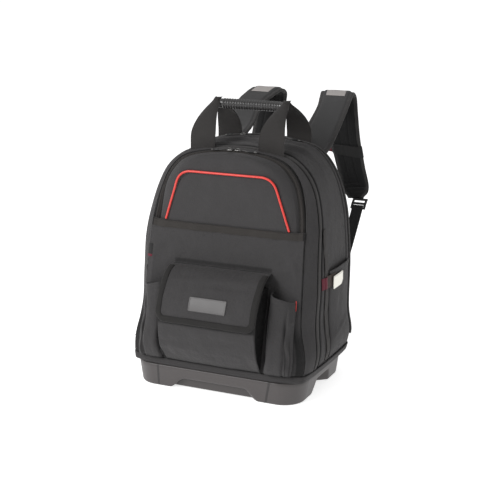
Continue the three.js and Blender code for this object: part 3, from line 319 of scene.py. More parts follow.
def weld(piece, distance=0.00002, outwards=True):
    choose(piece)
    bpy.ops.object.mode_set(mode="EDIT")
    bpy.ops.mesh.select_all(action="SELECT")
    bpy.ops.mesh.remove_doubles(threshold=distance)
    if outwards:
        bpy.ops.mesh.normals_make_consistent(inside=False)
    bpy.ops.object.mode_set(mode="OBJECT")


def lay(name, place, columns, rows, size, flip=False, shade_at=None):
    deselect()
    bpy.ops.mesh.primitive_grid_add(x_subdivisions=columns, y_subdivisions=rows, size=1, calc_uvs=True)
    piece = bpy.context.object
    piece.name = piece.data.name = f"{name}_finished"
    for corner in piece.data.uv_layers.active.data:
        corner.uv = (corner.uv.x * size[0] / 1000, corner.uv.y * size[1] / 1000)
    # fold_shade holds painted shade for each point, given by shade_at
    depth = piece.data.attributes.new("fold_shade", "FLOAT", "POINT").data if shade_at else None
    for vertex in piece.data.vertices:
        u, v = clamp(vertex.co.x + 0.5), clamp(vertex.co.y + 0.5)
        vertex.co = metres(place(u, v))
        if shade_at:
            depth[vertex.index].value = clamp(shade_at(u, v))
    if flip:
        bpy.ops.object.mode_set(mode="EDIT")
        bpy.ops.mesh.select_all(action="SELECT")
        bpy.ops.mesh.flip_normals()
        bpy.ops.object.mode_set(mode="OBJECT")
    return piece


def modify(piece, kind, **settings):
    choose(piece)
    modifier = piece.modifiers.new(kind.title(), kind)
    for key, value in settings.items():
        setattr(modifier, key, value)
    bpy.ops.object.modifier_apply(modifier=modifier.name)


def wall(piece, thickness, soft_edge=True):
    modify(piece, "SOLIDIFY", thickness=thickness / 1000, offset=-1, use_even_offset=False)
    if soft_edge:
        modify(piece, "BEVEL", width=min(thickness * 0.3, 0.6) / 1000, segments=2, limit_method="ANGLE",
               angle_limit=math.radians(60))


def done(piece, nodes, finish, angle=50):
    choose(piece)
    bpy.ops.object.shade_smooth_by_angle(angle=math.radians(angle))
    piece.data.materials.clear()
    piece.data.materials.append(finish)
    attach(piece, "root")
    if nodes:
        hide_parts(*nodes)
    return piece


def raised(place, distance, step=0.002):
    """The same surface moved along its own normal; distance may change over it."""
    def moved(u, v):
        u0, v0 = clamp(u, step, 1 - step), clamp(v, step, 1 - step)
        across = place(u0 + step, v0) - place(u0 - step, v0)
        up = place(u0, v0 + step) - place(u0, v0 - step)
        far = distance(u, v) if callable(distance) else distance
        return place(u, v) + across.cross(up).normalized() * far
    return moved


# %% [markdown]
# ## Finishes
# Cloth is more than a colour. Threads cross over and under, dust and rubbing change the tone over
# a hand's width, and stitches run beside each seam. Each of these is a node group with named
# sockets, built once and used with other values in each material.


# %% Wiring helpers
def plug(tree, socket, value):
    if isinstance(value, bpy.types.NodeSocket):
        tree.links.new(value, socket)
    else:
        socket.default_value = value


def compute(tree, operation, *values):
    node = tree.nodes.new("ShaderNodeMath")
    node.operation = operation
    for socket, value in zip(node.inputs, values):
        plug(tree, socket, value)
    return node.outputs[0]


def blend_colours(tree, share, a, b, kind="MIX"):
    node = tree.nodes.new("ShaderNodeMix")
    node.data_type = "RGBA"
    node.blend_type = kind
    plug(tree, node.inputs[0], share)
    plug(tree, node.inputs[6], a)
    plug(tree, node.inputs[7], b)
    return node.outputs[2]


def new_group(name, inputs, outputs):
    tree = bpy.data.node_groups.new(name, "ShaderNodeTree")
    for socket_name, default in inputs.items():
        kind = "NodeSocketVector" if isinstance(default, tuple) else "NodeSocketFloat"
        tree.interface.new_socket(name=socket_name, in_out="INPUT", socket_type=kind).default_value = default
    for socket_name in outputs:
        tree.interface.new_socket(name=socket_name, in_out="OUTPUT", socket_type="NodeSocketFloat")
    return tree, tree.nodes.new("NodeGroupInput").outputs, tree.nodes.new("NodeGroupOutput").inputs


def use_group(tree, group, **values):
    node = tree.nodes.new("ShaderNodeGroup")
    node.node_tree = group
    for key, value in values.items():
        plug(tree, node.inputs[key.replace("_", " ")], value)
    return node.outputs


def noise_value(tree, vector, scale, detail=3.0, roughness=0.5):
    node = tree.nodes.new("ShaderNodeTexNoise")
    plug(tree, node.inputs["Vector"], vector)
    plug(tree, node.inputs["Scale"], scale)
    plug(tree, node.inputs["Detail"], detail)
    plug(tree, node.inputs["Roughness"], roughness)
    return node.outputs["Fac"]


# %% Weave: threads crossing, by their pitch in metres
weave, given, told = new_group("Weave", {"Place": (0.0, 0.0, 0.0), "Pitch": 0.001}, ["Height"])
parts = weave.nodes.new("ShaderNodeSeparateXYZ")
plug(weave, parts.inputs[0], given["Place"])
turn = [compute(weave, "MULTIPLY", compute(weave, "DIVIDE", parts.outputs[axis], given["Pitch"]), math.pi)
        for axis in (0, 1)]
crossing = compute(weave, "MULTIPLY", compute(weave, "SINE", turn[0]), compute(weave, "SINE", turn[1]))
plug(weave, told["Height"], compute(weave, "ABSOLUTE", crossing))

# %% Wear: slow patches of dust and rubbing
wear, given, told = new_group("Wear", {"Place": (0.0, 0.0, 0.0), "Size": 18.0}, ["Patch", "Fluff"])
plug(wear, told["Patch"], noise_value(wear, given["Place"], given["Size"], 4.0, 0.6))
plug(wear, told["Fluff"], noise_value(wear, given["Place"], 900.0, 2.0, 0.6))

# %% Stitch: a dashed line at a distance across, running along
stitch, given, told = new_group(
    "Stitch", {"Across": 0.0, "Along": 0.0, "Line": 0.004, "Length": 0.0032}, ["Thread", "Dip"])
off_line = compute(stitch, "ABSOLUTE", compute(stitch, "SUBTRACT", given["Across"], given["Line"]))
near = compute(stitch, "SUBTRACT", 1.0, compute(stitch, "DIVIDE", off_line, 0.0007))
beat = compute(stitch, "SINE", compute(
    stitch, "MULTIPLY", compute(stitch, "DIVIDE", given["Along"], given["Length"]), 2 * math.pi))
dash = compute(stitch, "MAXIMUM", compute(stitch, "ADD", beat, 0.55), 0.0)
plug(stitch, told["Thread"], compute(
    stitch, "MINIMUM", compute(stitch, "MULTIPLY", compute(stitch, "MAXIMUM", near, 0.0), dash), 1.0))
plug(stitch, told["Dip"], compute(
    stitch, "MAXIMUM", compute(stitch, "SUBTRACT", 1.0, compute(stitch, "DIVIDE", off_line, 0.0022)), 0.0))


# %% Shade: painted shadow that gathers along a line, such as a seam
shade, given, told = new_group("Shade", {"Across": 0.0, "Line": 0.0, "Reach": 0.003}, ["Dark"])
away = compute(shade, "ABSOLUTE", compute(shade, "SUBTRACT", given["Across"], given["Line"]))
rest = compute(shade, "SUBTRACT", 1.0, compute(shade, "DIVIDE", away, given["Reach"]))
fall = compute(shade, "MAXIMUM", rest, 0.0)
plug(shade, told["Dark"], compute(shade, "MINIMUM", compute(shade, "MULTIPLY", fall, 2.0), 1.0))


# %% [markdown]
# ## One recipe for all the cloths
# `fabric` wires the groups into a Principled shader. The lines of stitching are given as (axis,
# distance) in metres on the piece's own UV map, so they follow its edges wherever it bends.
# Lines of painted shade, the shadow in a seam, are given the same way with a reach and a strength,
# and a piece's fold_shade attribute paints shade point by point.


# %% Fabric recipe
def start_material(name, colour, roughness, **sockets):
    material = bpy.data.materials.new(name)
    material.use_nodes = True
    tree = material.node_tree
    shader = tree.nodes["Principled BSDF"]
    shader.inputs["Base Color"].default_value = (*colour, 1)
    shader.inputs["Roughness"].default_value = roughness
    for key, value in sockets.items():
        shader.inputs[key.replace("_", " ")].default_value = value
    return material, tree, shader


def finish_bump(tree, shader, height, strength, distance):
    bump = tree.nodes.new("ShaderNodeBump")
    bump.inputs["Strength"].default_value = strength
    bump.inputs["Distance"].default_value = distance
    plug(tree, bump.inputs["Height"], height)
    tree.links.new(bump.outputs[0], shader.inputs["Normal"])


def fabric(name, colour, pitch=0.0011, roughness=0.82, stitches=(), thread=None, bump=0.35, ribs=None,
           sheen=0.1, patch=0.16, shades=(), rumple=0.0):
    material, tree, shader = start_material(name, colour, roughness, Sheen_Weight=sheen,
                                            Sheen_Roughness=0.45, Specular_IOR_Level=0.3)
    shader.inputs["Sheen Tint"].default_value = (0.8, 0.78, 0.78, 1)
    places = tree.nodes.new("ShaderNodeTexCoord").outputs
    spot, solid_spot = places["UV"], places["Object"]
    threads = use_group(tree, weave, Place=spot, Pitch=pitch)["Height"]
    worn = use_group(tree, wear, Place=solid_spot)
    parts = tree.nodes.new("ShaderNodeSeparateXYZ")
    plug(tree, parts.inputs[0], spot)
    height = threads
    if ribs:
        rib = compute(tree, "SINE", compute(tree, "MULTIPLY", parts.outputs[ribs[0]], 2 * math.pi / ribs[1]))
        height = compute(tree, "ADD", compute(tree, "MULTIPLY", rib, 0.6),
                         compute(tree, "MULTIPLY", threads, 0.5))
    dark = tuple(c * 0.72 for c in colour)
    light = tuple(min(c * 1.3, 1) for c in colour)
    tone = blend_colours(tree, compute(tree, "MULTIPLY", threads, 0.55), (*dark, 1), (*light, 1))
    dust = tuple(min(c * 1.25 + 0.008, 1) for c in colour)
    tone = blend_colours(tree, compute(tree, "MULTIPLY", worn["Patch"], patch * 2), tone, (*dust, 1))
    for axis, line in stitches:
        sewn = use_group(tree, stitch, Across=parts.outputs[axis], Along=parts.outputs[1 - axis], Line=line)
        tone = blend_colours(tree, compute(tree, "MULTIPLY", sewn["Thread"], 0.9), tone,
                             (*(thread or tuple(c * 0.45 for c in colour)), 1))
        height = compute(tree, "SUBTRACT", height, compute(tree, "MULTIPLY", sewn["Dip"], 1.3))
        height = compute(tree, "ADD", height, compute(tree, "MULTIPLY", sewn["Thread"], 1.6))
    # Painted shade: each (axis, line, reach, strength) darkens the cloth along a line, standing in for the
    # shadow in a seam
    for axis, line, reach, strength in shades:
        dark_line = use_group(tree, shade, Across=parts.outputs[axis], Line=line, Reach=reach)["Dark"]
        tone = blend_colours(tree, compute(tree, "MULTIPLY", dark_line, strength), tone,
                             (*(c * 0.05 for c in colour), 1))
    # Painted shade from the fold_shade attribute: pleats, gaps and cloth under flaps darkened point by point
    painted_shade_attribute = tree.nodes.new("ShaderNodeAttribute")
    painted_shade_attribute.attribute_name = "fold_shade"
    tone = blend_colours(tree, painted_shade_attribute.outputs["Fac"], tone, (*(c * 0.1 for c in colour), 1))
    tree.links.new(tone, shader.inputs["Base Color"])
    rough = compute(tree, "ADD", roughness - 0.08, compute(tree, "MULTIPLY", worn["Fluff"], 0.16))
    tree.links.new(rough, shader.inputs["Roughness"])
    finish_bump(tree, shader, height, bump, 0.0005)
    if rumple:
        crush = tree.nodes.new("ShaderNodeBump")
        crush.inputs["Strength"].default_value = rumple
        crush.inputs["Distance"].default_value = 0.006
        plug(tree, crush.inputs["Height"], use_group(tree, wear, Place=solid_spot, Size=34.0)["Patch"])
        tree.links.new(crush.outputs[0], shader.inputs["Normal"].links[0].from_node.inputs["Normal"])
    return material


CHARCOAL = (0.036, 0.0342, 0.035)
BROWNISH = (0.027, 0.0235, 0.0215)
webbing = fabric("ribbed webbing", (0.03, 0.0275, 0.0265), pitch=0.0012, ribs=(0, 0.0022), bump=0.6)
mesh_cloth = fabric("spacer mesh", (0.0075, 0.0075, 0.0078), pitch=0.003, roughness=0.9, bump=0.8, sheen=0.12)
crimson = fabric("crimson tape", (0.11, 0.012, 0.024), pitch=0.0008, bump=0.3)
bright_red = fabric("red tape", (0.5, 0.035, 0.03), pitch=0.0008, bump=0.3)


# %% [markdown]
# ## Hard finishes
# Moulded parts have a fine grain instead of a weave, under slow patches of pale dust. Rubber
# scatters light widely; the grip is glossier; the clip is brushed steel.


# %% Moulded, piping and steel recipes
def moulded(name, colour, roughness, grain=1400.0, bump=0.15, patch=0.12, grooves=()):
    """The grooves are (axis, distance, reach) on the piece's UV map; each is a dip in the bump, darkened with
    painted shade.
    """
    material, tree, shader = start_material(name, colour, roughness, Specular_IOR_Level=0.5)
    spot = tree.nodes.new("ShaderNodeTexCoord").outputs["Object"]
    worn = use_group(tree, wear, Place=spot, Size=14.0)
    fine = noise_value(tree, spot, grain, 2.0)
    dust = tuple(min(c * 1.35 + 0.01, 1) for c in colour)
    tone = blend_colours(tree, compute(tree, "MULTIPLY", worn["Patch"], patch * 3), (*colour, 1), (*dust, 1))
    across = tree.nodes.new("ShaderNodeSeparateXYZ")
    tree.links.new(tree.nodes.new("ShaderNodeTexCoord").outputs["UV"], across.inputs[0])
    # Each groove is cut into the bump and darkened with painted shade
    for axis, line, reach in grooves:
        cut = use_group(tree, shade, Across=across.outputs[axis], Line=line, Reach=reach)["Dark"]
        tone = blend_colours(tree, compute(tree, "MULTIPLY", cut, 0.8), tone, (*(c * 0.2 for c in colour), 1))
        fine = compute(tree, "SUBTRACT", fine, compute(tree, "MULTIPLY", cut, 3.0))
    tree.links.new(tone, shader.inputs["Base Color"])
    tree.links.new(compute(tree, "ADD", roughness - 0.05, compute(tree, "MULTIPLY", worn["Patch"], 0.12)),
                   shader.inputs["Roughness"])
    finish_bump(tree, shader, fine, bump, 0.0004)
    return material


# Four thin grooves round the tub's corners, drawn as a dip in the bump and painted shade
rubber = moulded("moulded rubber", (0.047, 0.041, 0.0405), 0.4,
                 grooves=[(0, place, 0.0026) for place in (0.0091, 0.2109, 0.2885, 1.0512)])
black_plastic = moulded("black plastic", (0.014, 0.014, 0.0145), 0.38)
grip_rubber = moulded("grip rubber", (0.03, 0.029, 0.029), 0.26, bump=0.04)
bare_patch = moulded("bare moulded patch", (0.075, 0.0715, 0.0715), 0.5, grain=900)
pale_patch = moulded("pale moulded patch", (0.3, 0.28, 0.27), 0.5, grain=900)
piping_red = moulded("red piping", (0.6, 0.04, 0.03), 0.36, grain=2600, bump=0.1, patch=0.05)
piping_dark = moulded("dark piping", (0.024, 0.0225, 0.0225), 0.55)
slider_metal = moulded("slider metal", (0.2, 0.195, 0.19), 0.3)
pull_cord = moulded("pull cord", (0.05, 0.048, 0.047), 0.5)
pull_end = moulded("pull end", (0.012, 0.012, 0.0125), 0.35)
slider_metal.node_tree.nodes["Principled BSDF"].inputs["Metallic"].default_value = 0.9

steel, tree, shader = start_material("satin steel", (0.78, 0.76, 0.69), 0.32, Metallic=0.55)
spot = tree.nodes.new("ShaderNodeTexCoord").outputs["Object"]
stretch = tree.nodes.new("ShaderNodeMapping")
stretch.inputs["Scale"].default_value = (1.0, 8.0, 220.0)
tree.links.new(spot, stretch.inputs["Vector"])
lines = noise_value(tree, stretch.outputs[0], 30.0, 3.0)
tree.links.new(compute(tree, "ADD", 0.22, compute(tree, "MULTIPLY", lines, 0.2)), shader.inputs["Roughness"])
tree.links.new(blend_colours(tree, lines, (0.70, 0.68, 0.61, 1), (0.86, 0.84, 0.77, 1)),
               shader.inputs["Base Color"])
finish_bump(tree, shader, lines, 0.08, 0.0002)

# %% [markdown]
# ## The front panel
# The upper face leans back and is cut as an arch. Each row of the grid runs from the left edge
# seam to the right one at one height; the rows close in to a point at the arch's top. The cloth
# swells a little between the piping and the seam, and tucks in at its edge, which gives part of
# the dark line that a sewn-on zip has; painted shade along the panel's sides and top deepens it.


# %% Front panel
def spread(u):
    return math.sin((u - 0.5) * math.pi)


def panel_point(u, v):
    edge = along(PANEL_SEAM, v / 2)
    a = spread(u)
    x = a * edge.x
    y = mix(face_y(edge.z), edge.y, abs(a) ** 9)
    tuck = smooth(abs(a), 0.965, 1.0) + 0.4 * smooth(v, 0.955, 1.0)
    corner = hump(abs(x), 118, 34) * hump(edge.z, 436, 26)
    puff = -1.4 * (1 - smooth(abs(a), 0.8, 1.0)) * smooth(edge.z, 320, 350) + 2.2 * corner
    return sag(Vector((x, y + 2.6 * min(tuck, 1) + puff, edge.z)))


panel = lay("front_panel", panel_point, 120, 150, (334, 420))
wall(panel, 2.0, soft_edge=False)
# Painted shade along the panel's side edges and at its top, where it meets the zip tape
done(panel, ["front_panel"], fabric(
    "front panel cloth", CHARCOAL, rumple=0.35,
    shades=[(0, 0.0, 0.003, 0.9), (0, 0.334, 0.003, 0.9), (1, 0.42, 0.004, 0.8)]))


# %% [markdown]
# ## Bands round the arch
# Three narrow bands join the front to the back: the pocket zip's tape, the front gusset and the
# main zip. A band's cross-section is a short list of (share across, rise in millimetres): where
# it drops between raised cloth the render gets part of the dark lines of a real seam, and painted
# shade along the band's edges deepens them.


# %% Bands
def band_place(first, last, section):
    def place(u, v):
        share, lift = row_at(section, v)
        a, b = along(first, u), along(last, u)
        p = a.lerp(b, share)
        return sag(p - into_bag(p) * lift)
    return place


def band(name, first, last, section, nodes, finish, length, width, rows=3, steps=260):
    piece = lay(name, band_place(first, last, section), steps, rows * (len(section) - 1), (length, width),
                flip=True)
    wall(piece, 1.6, soft_edge=False)
    return done(piece, nodes, finish, angle=70)


ZIP_TAPE = [(0.0, -2.6), (0.06, -1.4), (0.3, -0.9), (0.36, -0.2), (0.44, 1.1), (0.56, 1.1), (0.64, -0.2),
            (0.7, -0.9), (0.93, -1.4), (1.0, -3.6)]
GUSSET = [(0.0, -4.2), (0.012, -0.6), (0.04, 0.8), (0.12, 0.6), (0.4, 1.3), (0.75, 0.9), (0.93, 0.7),
          (0.975, -0.6), (1.0, -4.2)]
ZIP_COVER = [(0.0, -4.4), (0.1, -0.4), (0.2, 0.5), (0.5, 0.9), (0.8, 0.5), (0.9, -0.4), (1.0, -4.4)]
# The shades paint shadow along each band's two edges, in the seams between the bands
coil_tape = fabric("zip tape and coil", BROWNISH, pitch=0.0009, ribs=(0, 0.0019), bump=0.7,
                   stitches=[(1, 0.0028), (1, 0.0122)],
                   shades=[(1, 0.0, 0.003, 0.8), (1, 0.015, 0.0042, 1.0)])
zip_band = band("front_zip", PANEL_SEAM, ZIP_SEAM, ZIP_TAPE, ["front_zip"], coil_tape, 1180, 15, rows=2)
gusset = band("front_gusset", ZIP_SEAM, MAIN_SEAM, GUSSET, ["front_gusset"],
              fabric("gusset cloth", CHARCOAL, shades=[(1, 0.0, 0.0046, 1.0), (1, 0.052, 0.0056, 1.0)],
                     stitches=[(1, 0.0064)], rumple=0.45), 1240, 52, rows=4)
cover = band("main_zip", MAIN_SEAM, MAIN_REAR_SEAM, ZIP_COVER, ["main_zip"],
             fabric("zip cover tape", (0.031, 0.029, 0.0285), stitches=[(1, 0.004), (1, 0.014)],
                    shades=[(1, 0.0, 0.0044, 1.0), (1, 0.018, 0.005, 1.0)]), 1260, 18)


# %% [markdown]
# ## The rear shell
# Behind the main zip one wide gusset runs back to the rear seam, rounds over it and becomes the
# back of the bag. Its top is slack, so it gets soft cross wrinkles.


# %% Rear shell
BACK_TURN = [(1.0, 0.0), (0.995, 0.25), (0.985, 0.6), (0.97, 0.9), (0.955, 1.0), (0.85, 1.0), (0.6, 1.0),
             (0.3, 1.0), (0.0, 1.0)]
GUSSET_SHARE = 0.62


def shell_point(u, v):
    rear = along(BACK_SEAM, u)
    if v <= GUSSET_SHARE:
        t = (v / GUSSET_SHARE) ** 0.9
        p = along(MAIN_REAR_SEAM, u).lerp(rear, t)
        edge = -4.2 * (1 - smooth(t, 0.0, 0.05))
        top = smooth(p.z, 440, 470)
        crease = 1.7 * top * math.sin(t * 17 + 1.3 * math.sin(p.x / 31)) * math.sin(math.pi * t) ** 0.5
        slack = 2.4 * math.sin(math.pi * t) * (0.4 + top)
        fold = -1.4 * hump(t, 0.876, 0.012) * smooth(p.z, 180, 300)
        seam_dip = -1.2 * smooth(t, 0.955, 1.0)
        return sag(p - into_bag(p) * (edge + crease + slack + fold + seam_dip))
    x = (v - GUSSET_SHARE) / (1 - GUSSET_SHARE) * (len(BACK_TURN) - 1)
    i = min(int(x), len(BACK_TURN) - 2)
    share, depth = (mix(BACK_TURN[i][k], BACK_TURN[i + 1][k], x - i) for k in (0, 1))
    p = Vector((0, REAR_SEAM, 48.5)).lerp(rear, share)
    dip = 1.2 * (1 - smooth(1 - share, 0.0, 0.012))
    return sag(Vector((p.x, REAR_SEAM + (REAR_FACE - REAR_SEAM) * depth, p.z)) + into_bag(p) * dip)


shell = lay("main_shell", shell_point, 260, 110, (1270, 320), flip=True)
weld(shell, outwards=False)
wall(shell, 2.0, soft_edge=False)
# Painted shade along the shell's seam with the main zip and along the fold line in front of the rear seam
done(shell, ["main_shell"], fabric(
    "rear shell cloth", CHARCOAL, stitches=[(1, 0.006)],
    shades=[(1, 0.0, 0.007, 1.0), (1, 0.171, 0.008, 0.95)], rumple=0.45))


# %% [markdown]
# ## Tape round the foot
# Where the cloth is sewn to the tub a wide tape covers the raw edge. Its outline is the bag's
# own at each height, set out by a little more than the cloth's thickness.


# %% Base binding
def outline(z):
    share = share_at(PANEL_SEAM, z)
    panel_edge, zip_edge = along(PANEL_SEAM, share), along(ZIP_SEAM, share_at(ZIP_SEAM, z))
    main_edge = along(MAIN_SEAM, share_at(MAIN_SEAM, z))
    rear_edge = along(BACK_SEAM, share_at(BACK_SEAM, z))
    front = [Vector((k * panel_edge.x, mix(face_y(z), panel_edge.y, k**9), z)) for k in (0, 0.4, 0.8, 0.92)]
    turn = ((1, 0), (0.985, 0.6), (0.955, 1), (0.5, 1), (0, 1))
    behind = [Vector((k * rear_edge.x, REAR_SEAM + 8 * d, z)) for k, d in turn]
    half = front + [panel_edge, zip_edge, main_edge] + behind
    for p in half:
        p.z = z
    return half + [Vector((-p.x, p.y, p.z)) for p in reversed(half[:-1])]


BINDING_ROWS = [(46.4, 1.0), (47.2, 1.8), (50, 2.4), (56.5, 2.5), (59.4, 2.1), (60.6, 0.9)]
BINDING_STEPS = 560
binding_loops = []
for height, out in BINDING_ROWS:
    loop = curve_through(outline(height), BINDING_STEPS)
    count = len(loop) - 1
    ring = []
    for i in range(count + 1):
        run = loop[(i + 3) % count] - loop[(i - 3) % count]
        normal = Vector((run.y, -run.x, 0)).normalized()
        p = loop[i % count] + normal * out
        ring.append(p + Vector((math.copysign(belly_at(p.x, height), p.x), 0, 0)))
    binding_loops.append(ring)


def binding_point(u, v):
    x = v * (len(binding_loops) - 1)
    i = min(int(x), len(binding_loops) - 2)
    return along(binding_loops[i], u).lerp(along(binding_loops[i + 1], u), x - i)


binding = lay("base_binding", binding_point, BINDING_STEPS, 10, (1130, 14))
weld(binding, outwards=False)
wall(binding, 1.2, soft_edge=False)
# Painted shade along the tape's top and bottom edges
done(binding, ["base_binding"], fabric(
    "foot tape", (0.034, 0.032, 0.0325), ribs=(1, 0.0019), stitches=[(1, 0.0028), (1, 0.0112)],
    shades=[(1, 0.0, 0.0016, 0.9), (1, 0.014, 0.0018, 0.9)]))


# %% [markdown]
# ## The moulded tub
# The tub is one rubbery moulding: a tapered wall with rounded corners, feet left between cut-away
# notches, and a stepped panel set back in the front notch. We draw its wall as columns round the
# plan; each column's lower end follows the notches. Small roundings at the rim and the sole catch
# the light along every edge.


# %% Base tub
TUB_WIDTH, TUB_DEPTH, TUB_HEIGHT, TUB_TAPER, TUB_CORNER = 370.0, 260.0, RIM_HEIGHT, 8.0, 52.0
FLOOR_HEIGHT = 28.0
TUB_COLUMNS = 640


def tub_loop(z, inset, count=TUB_COLUMNS):
    """Places and normals round the tub at one height."""
    taper = TUB_TAPER * (1 - z / TUB_HEIGHT)
    half_x, half_y = TUB_WIDTH / 2 - taper - inset, TUB_DEPTH / 2 - taper / 2 - inset
    corner = max(TUB_CORNER - taper - inset, 4)
    straight_x, straight_y, arc = 2 * (half_x - corner), 2 * (half_y - corner), corner * math.pi / 2
    found = []
    for k in range(count + 1):
        share = (k % count) / count * 4
        side, t = int(share), share - int(share)
        length = straight_x if side % 2 == 0 else straight_y
        run = t * (length + arc)
        if run < length:
            local, normal = Vector((run - length / 2, 0)), Vector((0, -1))
            far = half_y if side % 2 == 0 else half_x
            local = Vector((local.x, -far))
        else:
            angle = (run - length) / corner
            far = half_y if side % 2 == 0 else half_x
            normal = Vector((math.sin(angle), -math.cos(angle)))
            local = Vector((length / 2, -far + corner)) + normal * corner
        turn = Matrix.Rotation(side * math.pi / 2, 2)
        found.append((turn @ local, turn @ normal))
    return found


def notch(distance, half_bottom, half_top, height, soft=4.0):
    """How high a notch lifts the wall's lower end, at a distance from its middle."""
    slope = (half_bottom - half_top) / height
    raw = (half_bottom - abs(distance)) / slope
    return smooth(raw, -soft, height + soft) * height


def sole_height(place):
    x, y = place
    across = notch(x, 94, 68, 23) if abs(y) > TUB_DEPTH / 2 - 40 else 0
    beside = notch(y, 46, 31, 27.6) if abs(x) > 140 else 0
    return max(across, beside)


TUB_SECTION = [
    # height share from sole to rim (or a floor or rim place), inset from the outer face
    ("rim", -1.2, 3.9), ("rim", -0.2, 3.4), ("rim", 0.0, 2.4), ("rim", -0.3, 1.0), ("rim", -1.6, 0.0),
    ("wall", 0.8, 0.0), ("wall", 0.55, 0.0), ("wall", 0.3, 0.0), ("sole", 4.0, 0.0), ("sole", 1.8, 0.35),
    ("sole", 0.6, 1.1), ("sole", 0.0, 2.6), ("sole", 0.0, 10.0), ("sole", 0.0, 19.5), ("sole", 0.6, 21.0),
    ("sole", 2.0, 22.0), ("deck", -1.5, 22.0), ("deck", 0.0, 24.0), ("deck", 0.0, 70.0), ("deck", 0.0, 120.0),
]


def tub_point(u, v):
    x = v * (len(TUB_SECTION) - 1)
    i = min(int(x), len(TUB_SECTION) - 2)
    ends = []
    column = round(u * TUB_COLUMNS)
    sole = sole_height(tub_ring(0.0, 0.0)[column][0])
    for kind, amount, inset in (TUB_SECTION[i], TUB_SECTION[i + 1]):
        if kind == "rim":
            z = TUB_HEIGHT + amount
        elif kind == "wall":
            z = mix(sole + 4, TUB_HEIGHT - 1.6, amount)
        elif kind == "sole":
            z = sole + amount
        else:
            z = max(FLOOR_HEIGHT + amount, sole + 0.1)
        place = tub_ring(z, inset)[column][0]
        ends.append(Vector((place.x, place.y, z)))
    return ends[0].lerp(ends[1], x - i)


tub_cache = {}


def tub_ring(z, inset):
    key = (round(z, 1), round(inset, 1))
    if key not in tub_cache:
        tub_cache[key] = tub_loop(key[0], key[1])
    return tub_cache[key]


tub = lay("base_tub", tub_point, TUB_COLUMNS, len(TUB_SECTION) - 1, (1150, 120))
weld(tub, distance=0.00005, outwards=False)
choose(tub)
bpy.ops.object.mode_set(mode="EDIT")
bpy.ops.mesh.select_all(action="DESELECT")
bpy.ops.mesh.select_mode(type="VERT")
bpy.ops.mesh.select_non_manifold()
bpy.ops.object.mode_set(mode="OBJECT")
for vertex in tub.data.vertices:
    if vertex.co.z > 0.04:
        vertex.select = False
bpy.ops.object.mode_set(mode="EDIT")
bpy.ops.mesh.edge_face_add()
bpy.ops.mesh.select_all(action="SELECT")
bpy.ops.mesh.quads_convert_to_tris()
bpy.ops.object.mode_set(mode="OBJECT")
print("tub faces", len(tub.data.polygons))
done(tub, ["base_tub"], rubber, angle=45)

# %% [markdown]
# The front notch isn't open. A second wall stands 10 mm back in it and comes down almost to the
# ground, its sides following the notch's slopes. It is a slab laid on the same tapered front.

# %% Stepped panel in the front notch
STEP_BACK, STEP_FOOT, STEP_TOP = 10.0, 3.0, 24.0


def step_point(u, v):
    z = mix(STEP_FOOT, STEP_TOP, v)
    half = 94 - z * 26 / 23 + 1.5
    front = TUB_DEPTH / 2 - TUB_TAPER / 2 * (1 - z / TUB_HEIGHT) - STEP_BACK
    return Vector(((2 * u - 1) * half, -front, z))


step_panel = lay("base_step", step_point, 60, 8, (188, 21))
wall(step_panel, 5.0)
done(step_panel, ["base_tub"], moulded("step rubber", (0.042, 0.037, 0.0365), 0.42))

# %% [markdown]
# ## The pocket on the lower front
# A second cloth covers the lower face and ends under a folded hem. It hangs a little loose, most
# of all above the right slim pocket, where it falls in slanting folds. Its wide hem is a tape
# folded over the cloth's top edge and sewn twice.

# %% Pocket panel and hem
POCKET_TOP = 4.85 / ARCH_SPANS  # of the seam's length, as a share of the arch's rows


def lower_face(share, a):
    zip_edge, panel_edge = along(ZIP_SEAM, share), along(PANEL_SEAM, share)
    reach = abs(a)
    if reach > 0.9:
        p = panel_edge.lerp(zip_edge, (reach - 0.9) / 0.1)
        return Vector((math.copysign(p.x, a), p.y, p.z))
    k = reach / 0.9
    y = mix(face_y(panel_edge.z), panel_edge.y, k**9)
    return Vector((math.copysign(k * panel_edge.x, a), y, panel_edge.z))


def slack(p):
    """How far the loose pocket cloth stands off the face."""
    slant = math.sin((p.x - 140) * 0.11 + (p.z - 262) * 0.085)
    slant2 = math.sin((p.x - 140) * 0.05 - (p.z - 262) * 0.14 + 1.1)
    place = hump(p.x, 140, 26) * hump(p.z, 262, 38)
    left = hump(p.x, -135, 22) * hump(p.z, 268, 30) * math.sin((p.z - p.x) * 0.09)
    above_flap = hump(p.z, 262, 10) * smooth(120 - abs(p.x), 0, 30)
    side = hump(abs(p.x), 158, 18) * hump(p.z, 120, 46) * math.sin(p.z * 0.16 + p.x * 0.05)
    return 1.9 * place * slant + 1.0 * place * slant2 + 0.9 * left - 0.5 * above_flap + 0.8 * side


POCKET_FOOT = share_at(PANEL_SEAM, 62)


def pocket_point(u, v):
    p = lower_face(mix(POCKET_FOOT, POCKET_TOP, v), spread(u))
    return sag(p)


def pocket_lift(u, v):
    a = abs(spread(u))
    p = lower_face(mix(POCKET_FOOT, POCKET_TOP, v), spread(u))
    edge = smooth(a, 0.985, 1.0)
    return mix(3.0 + slack(p) * (1 - smooth(a, 0.86, 0.93)), 0.9, edge)


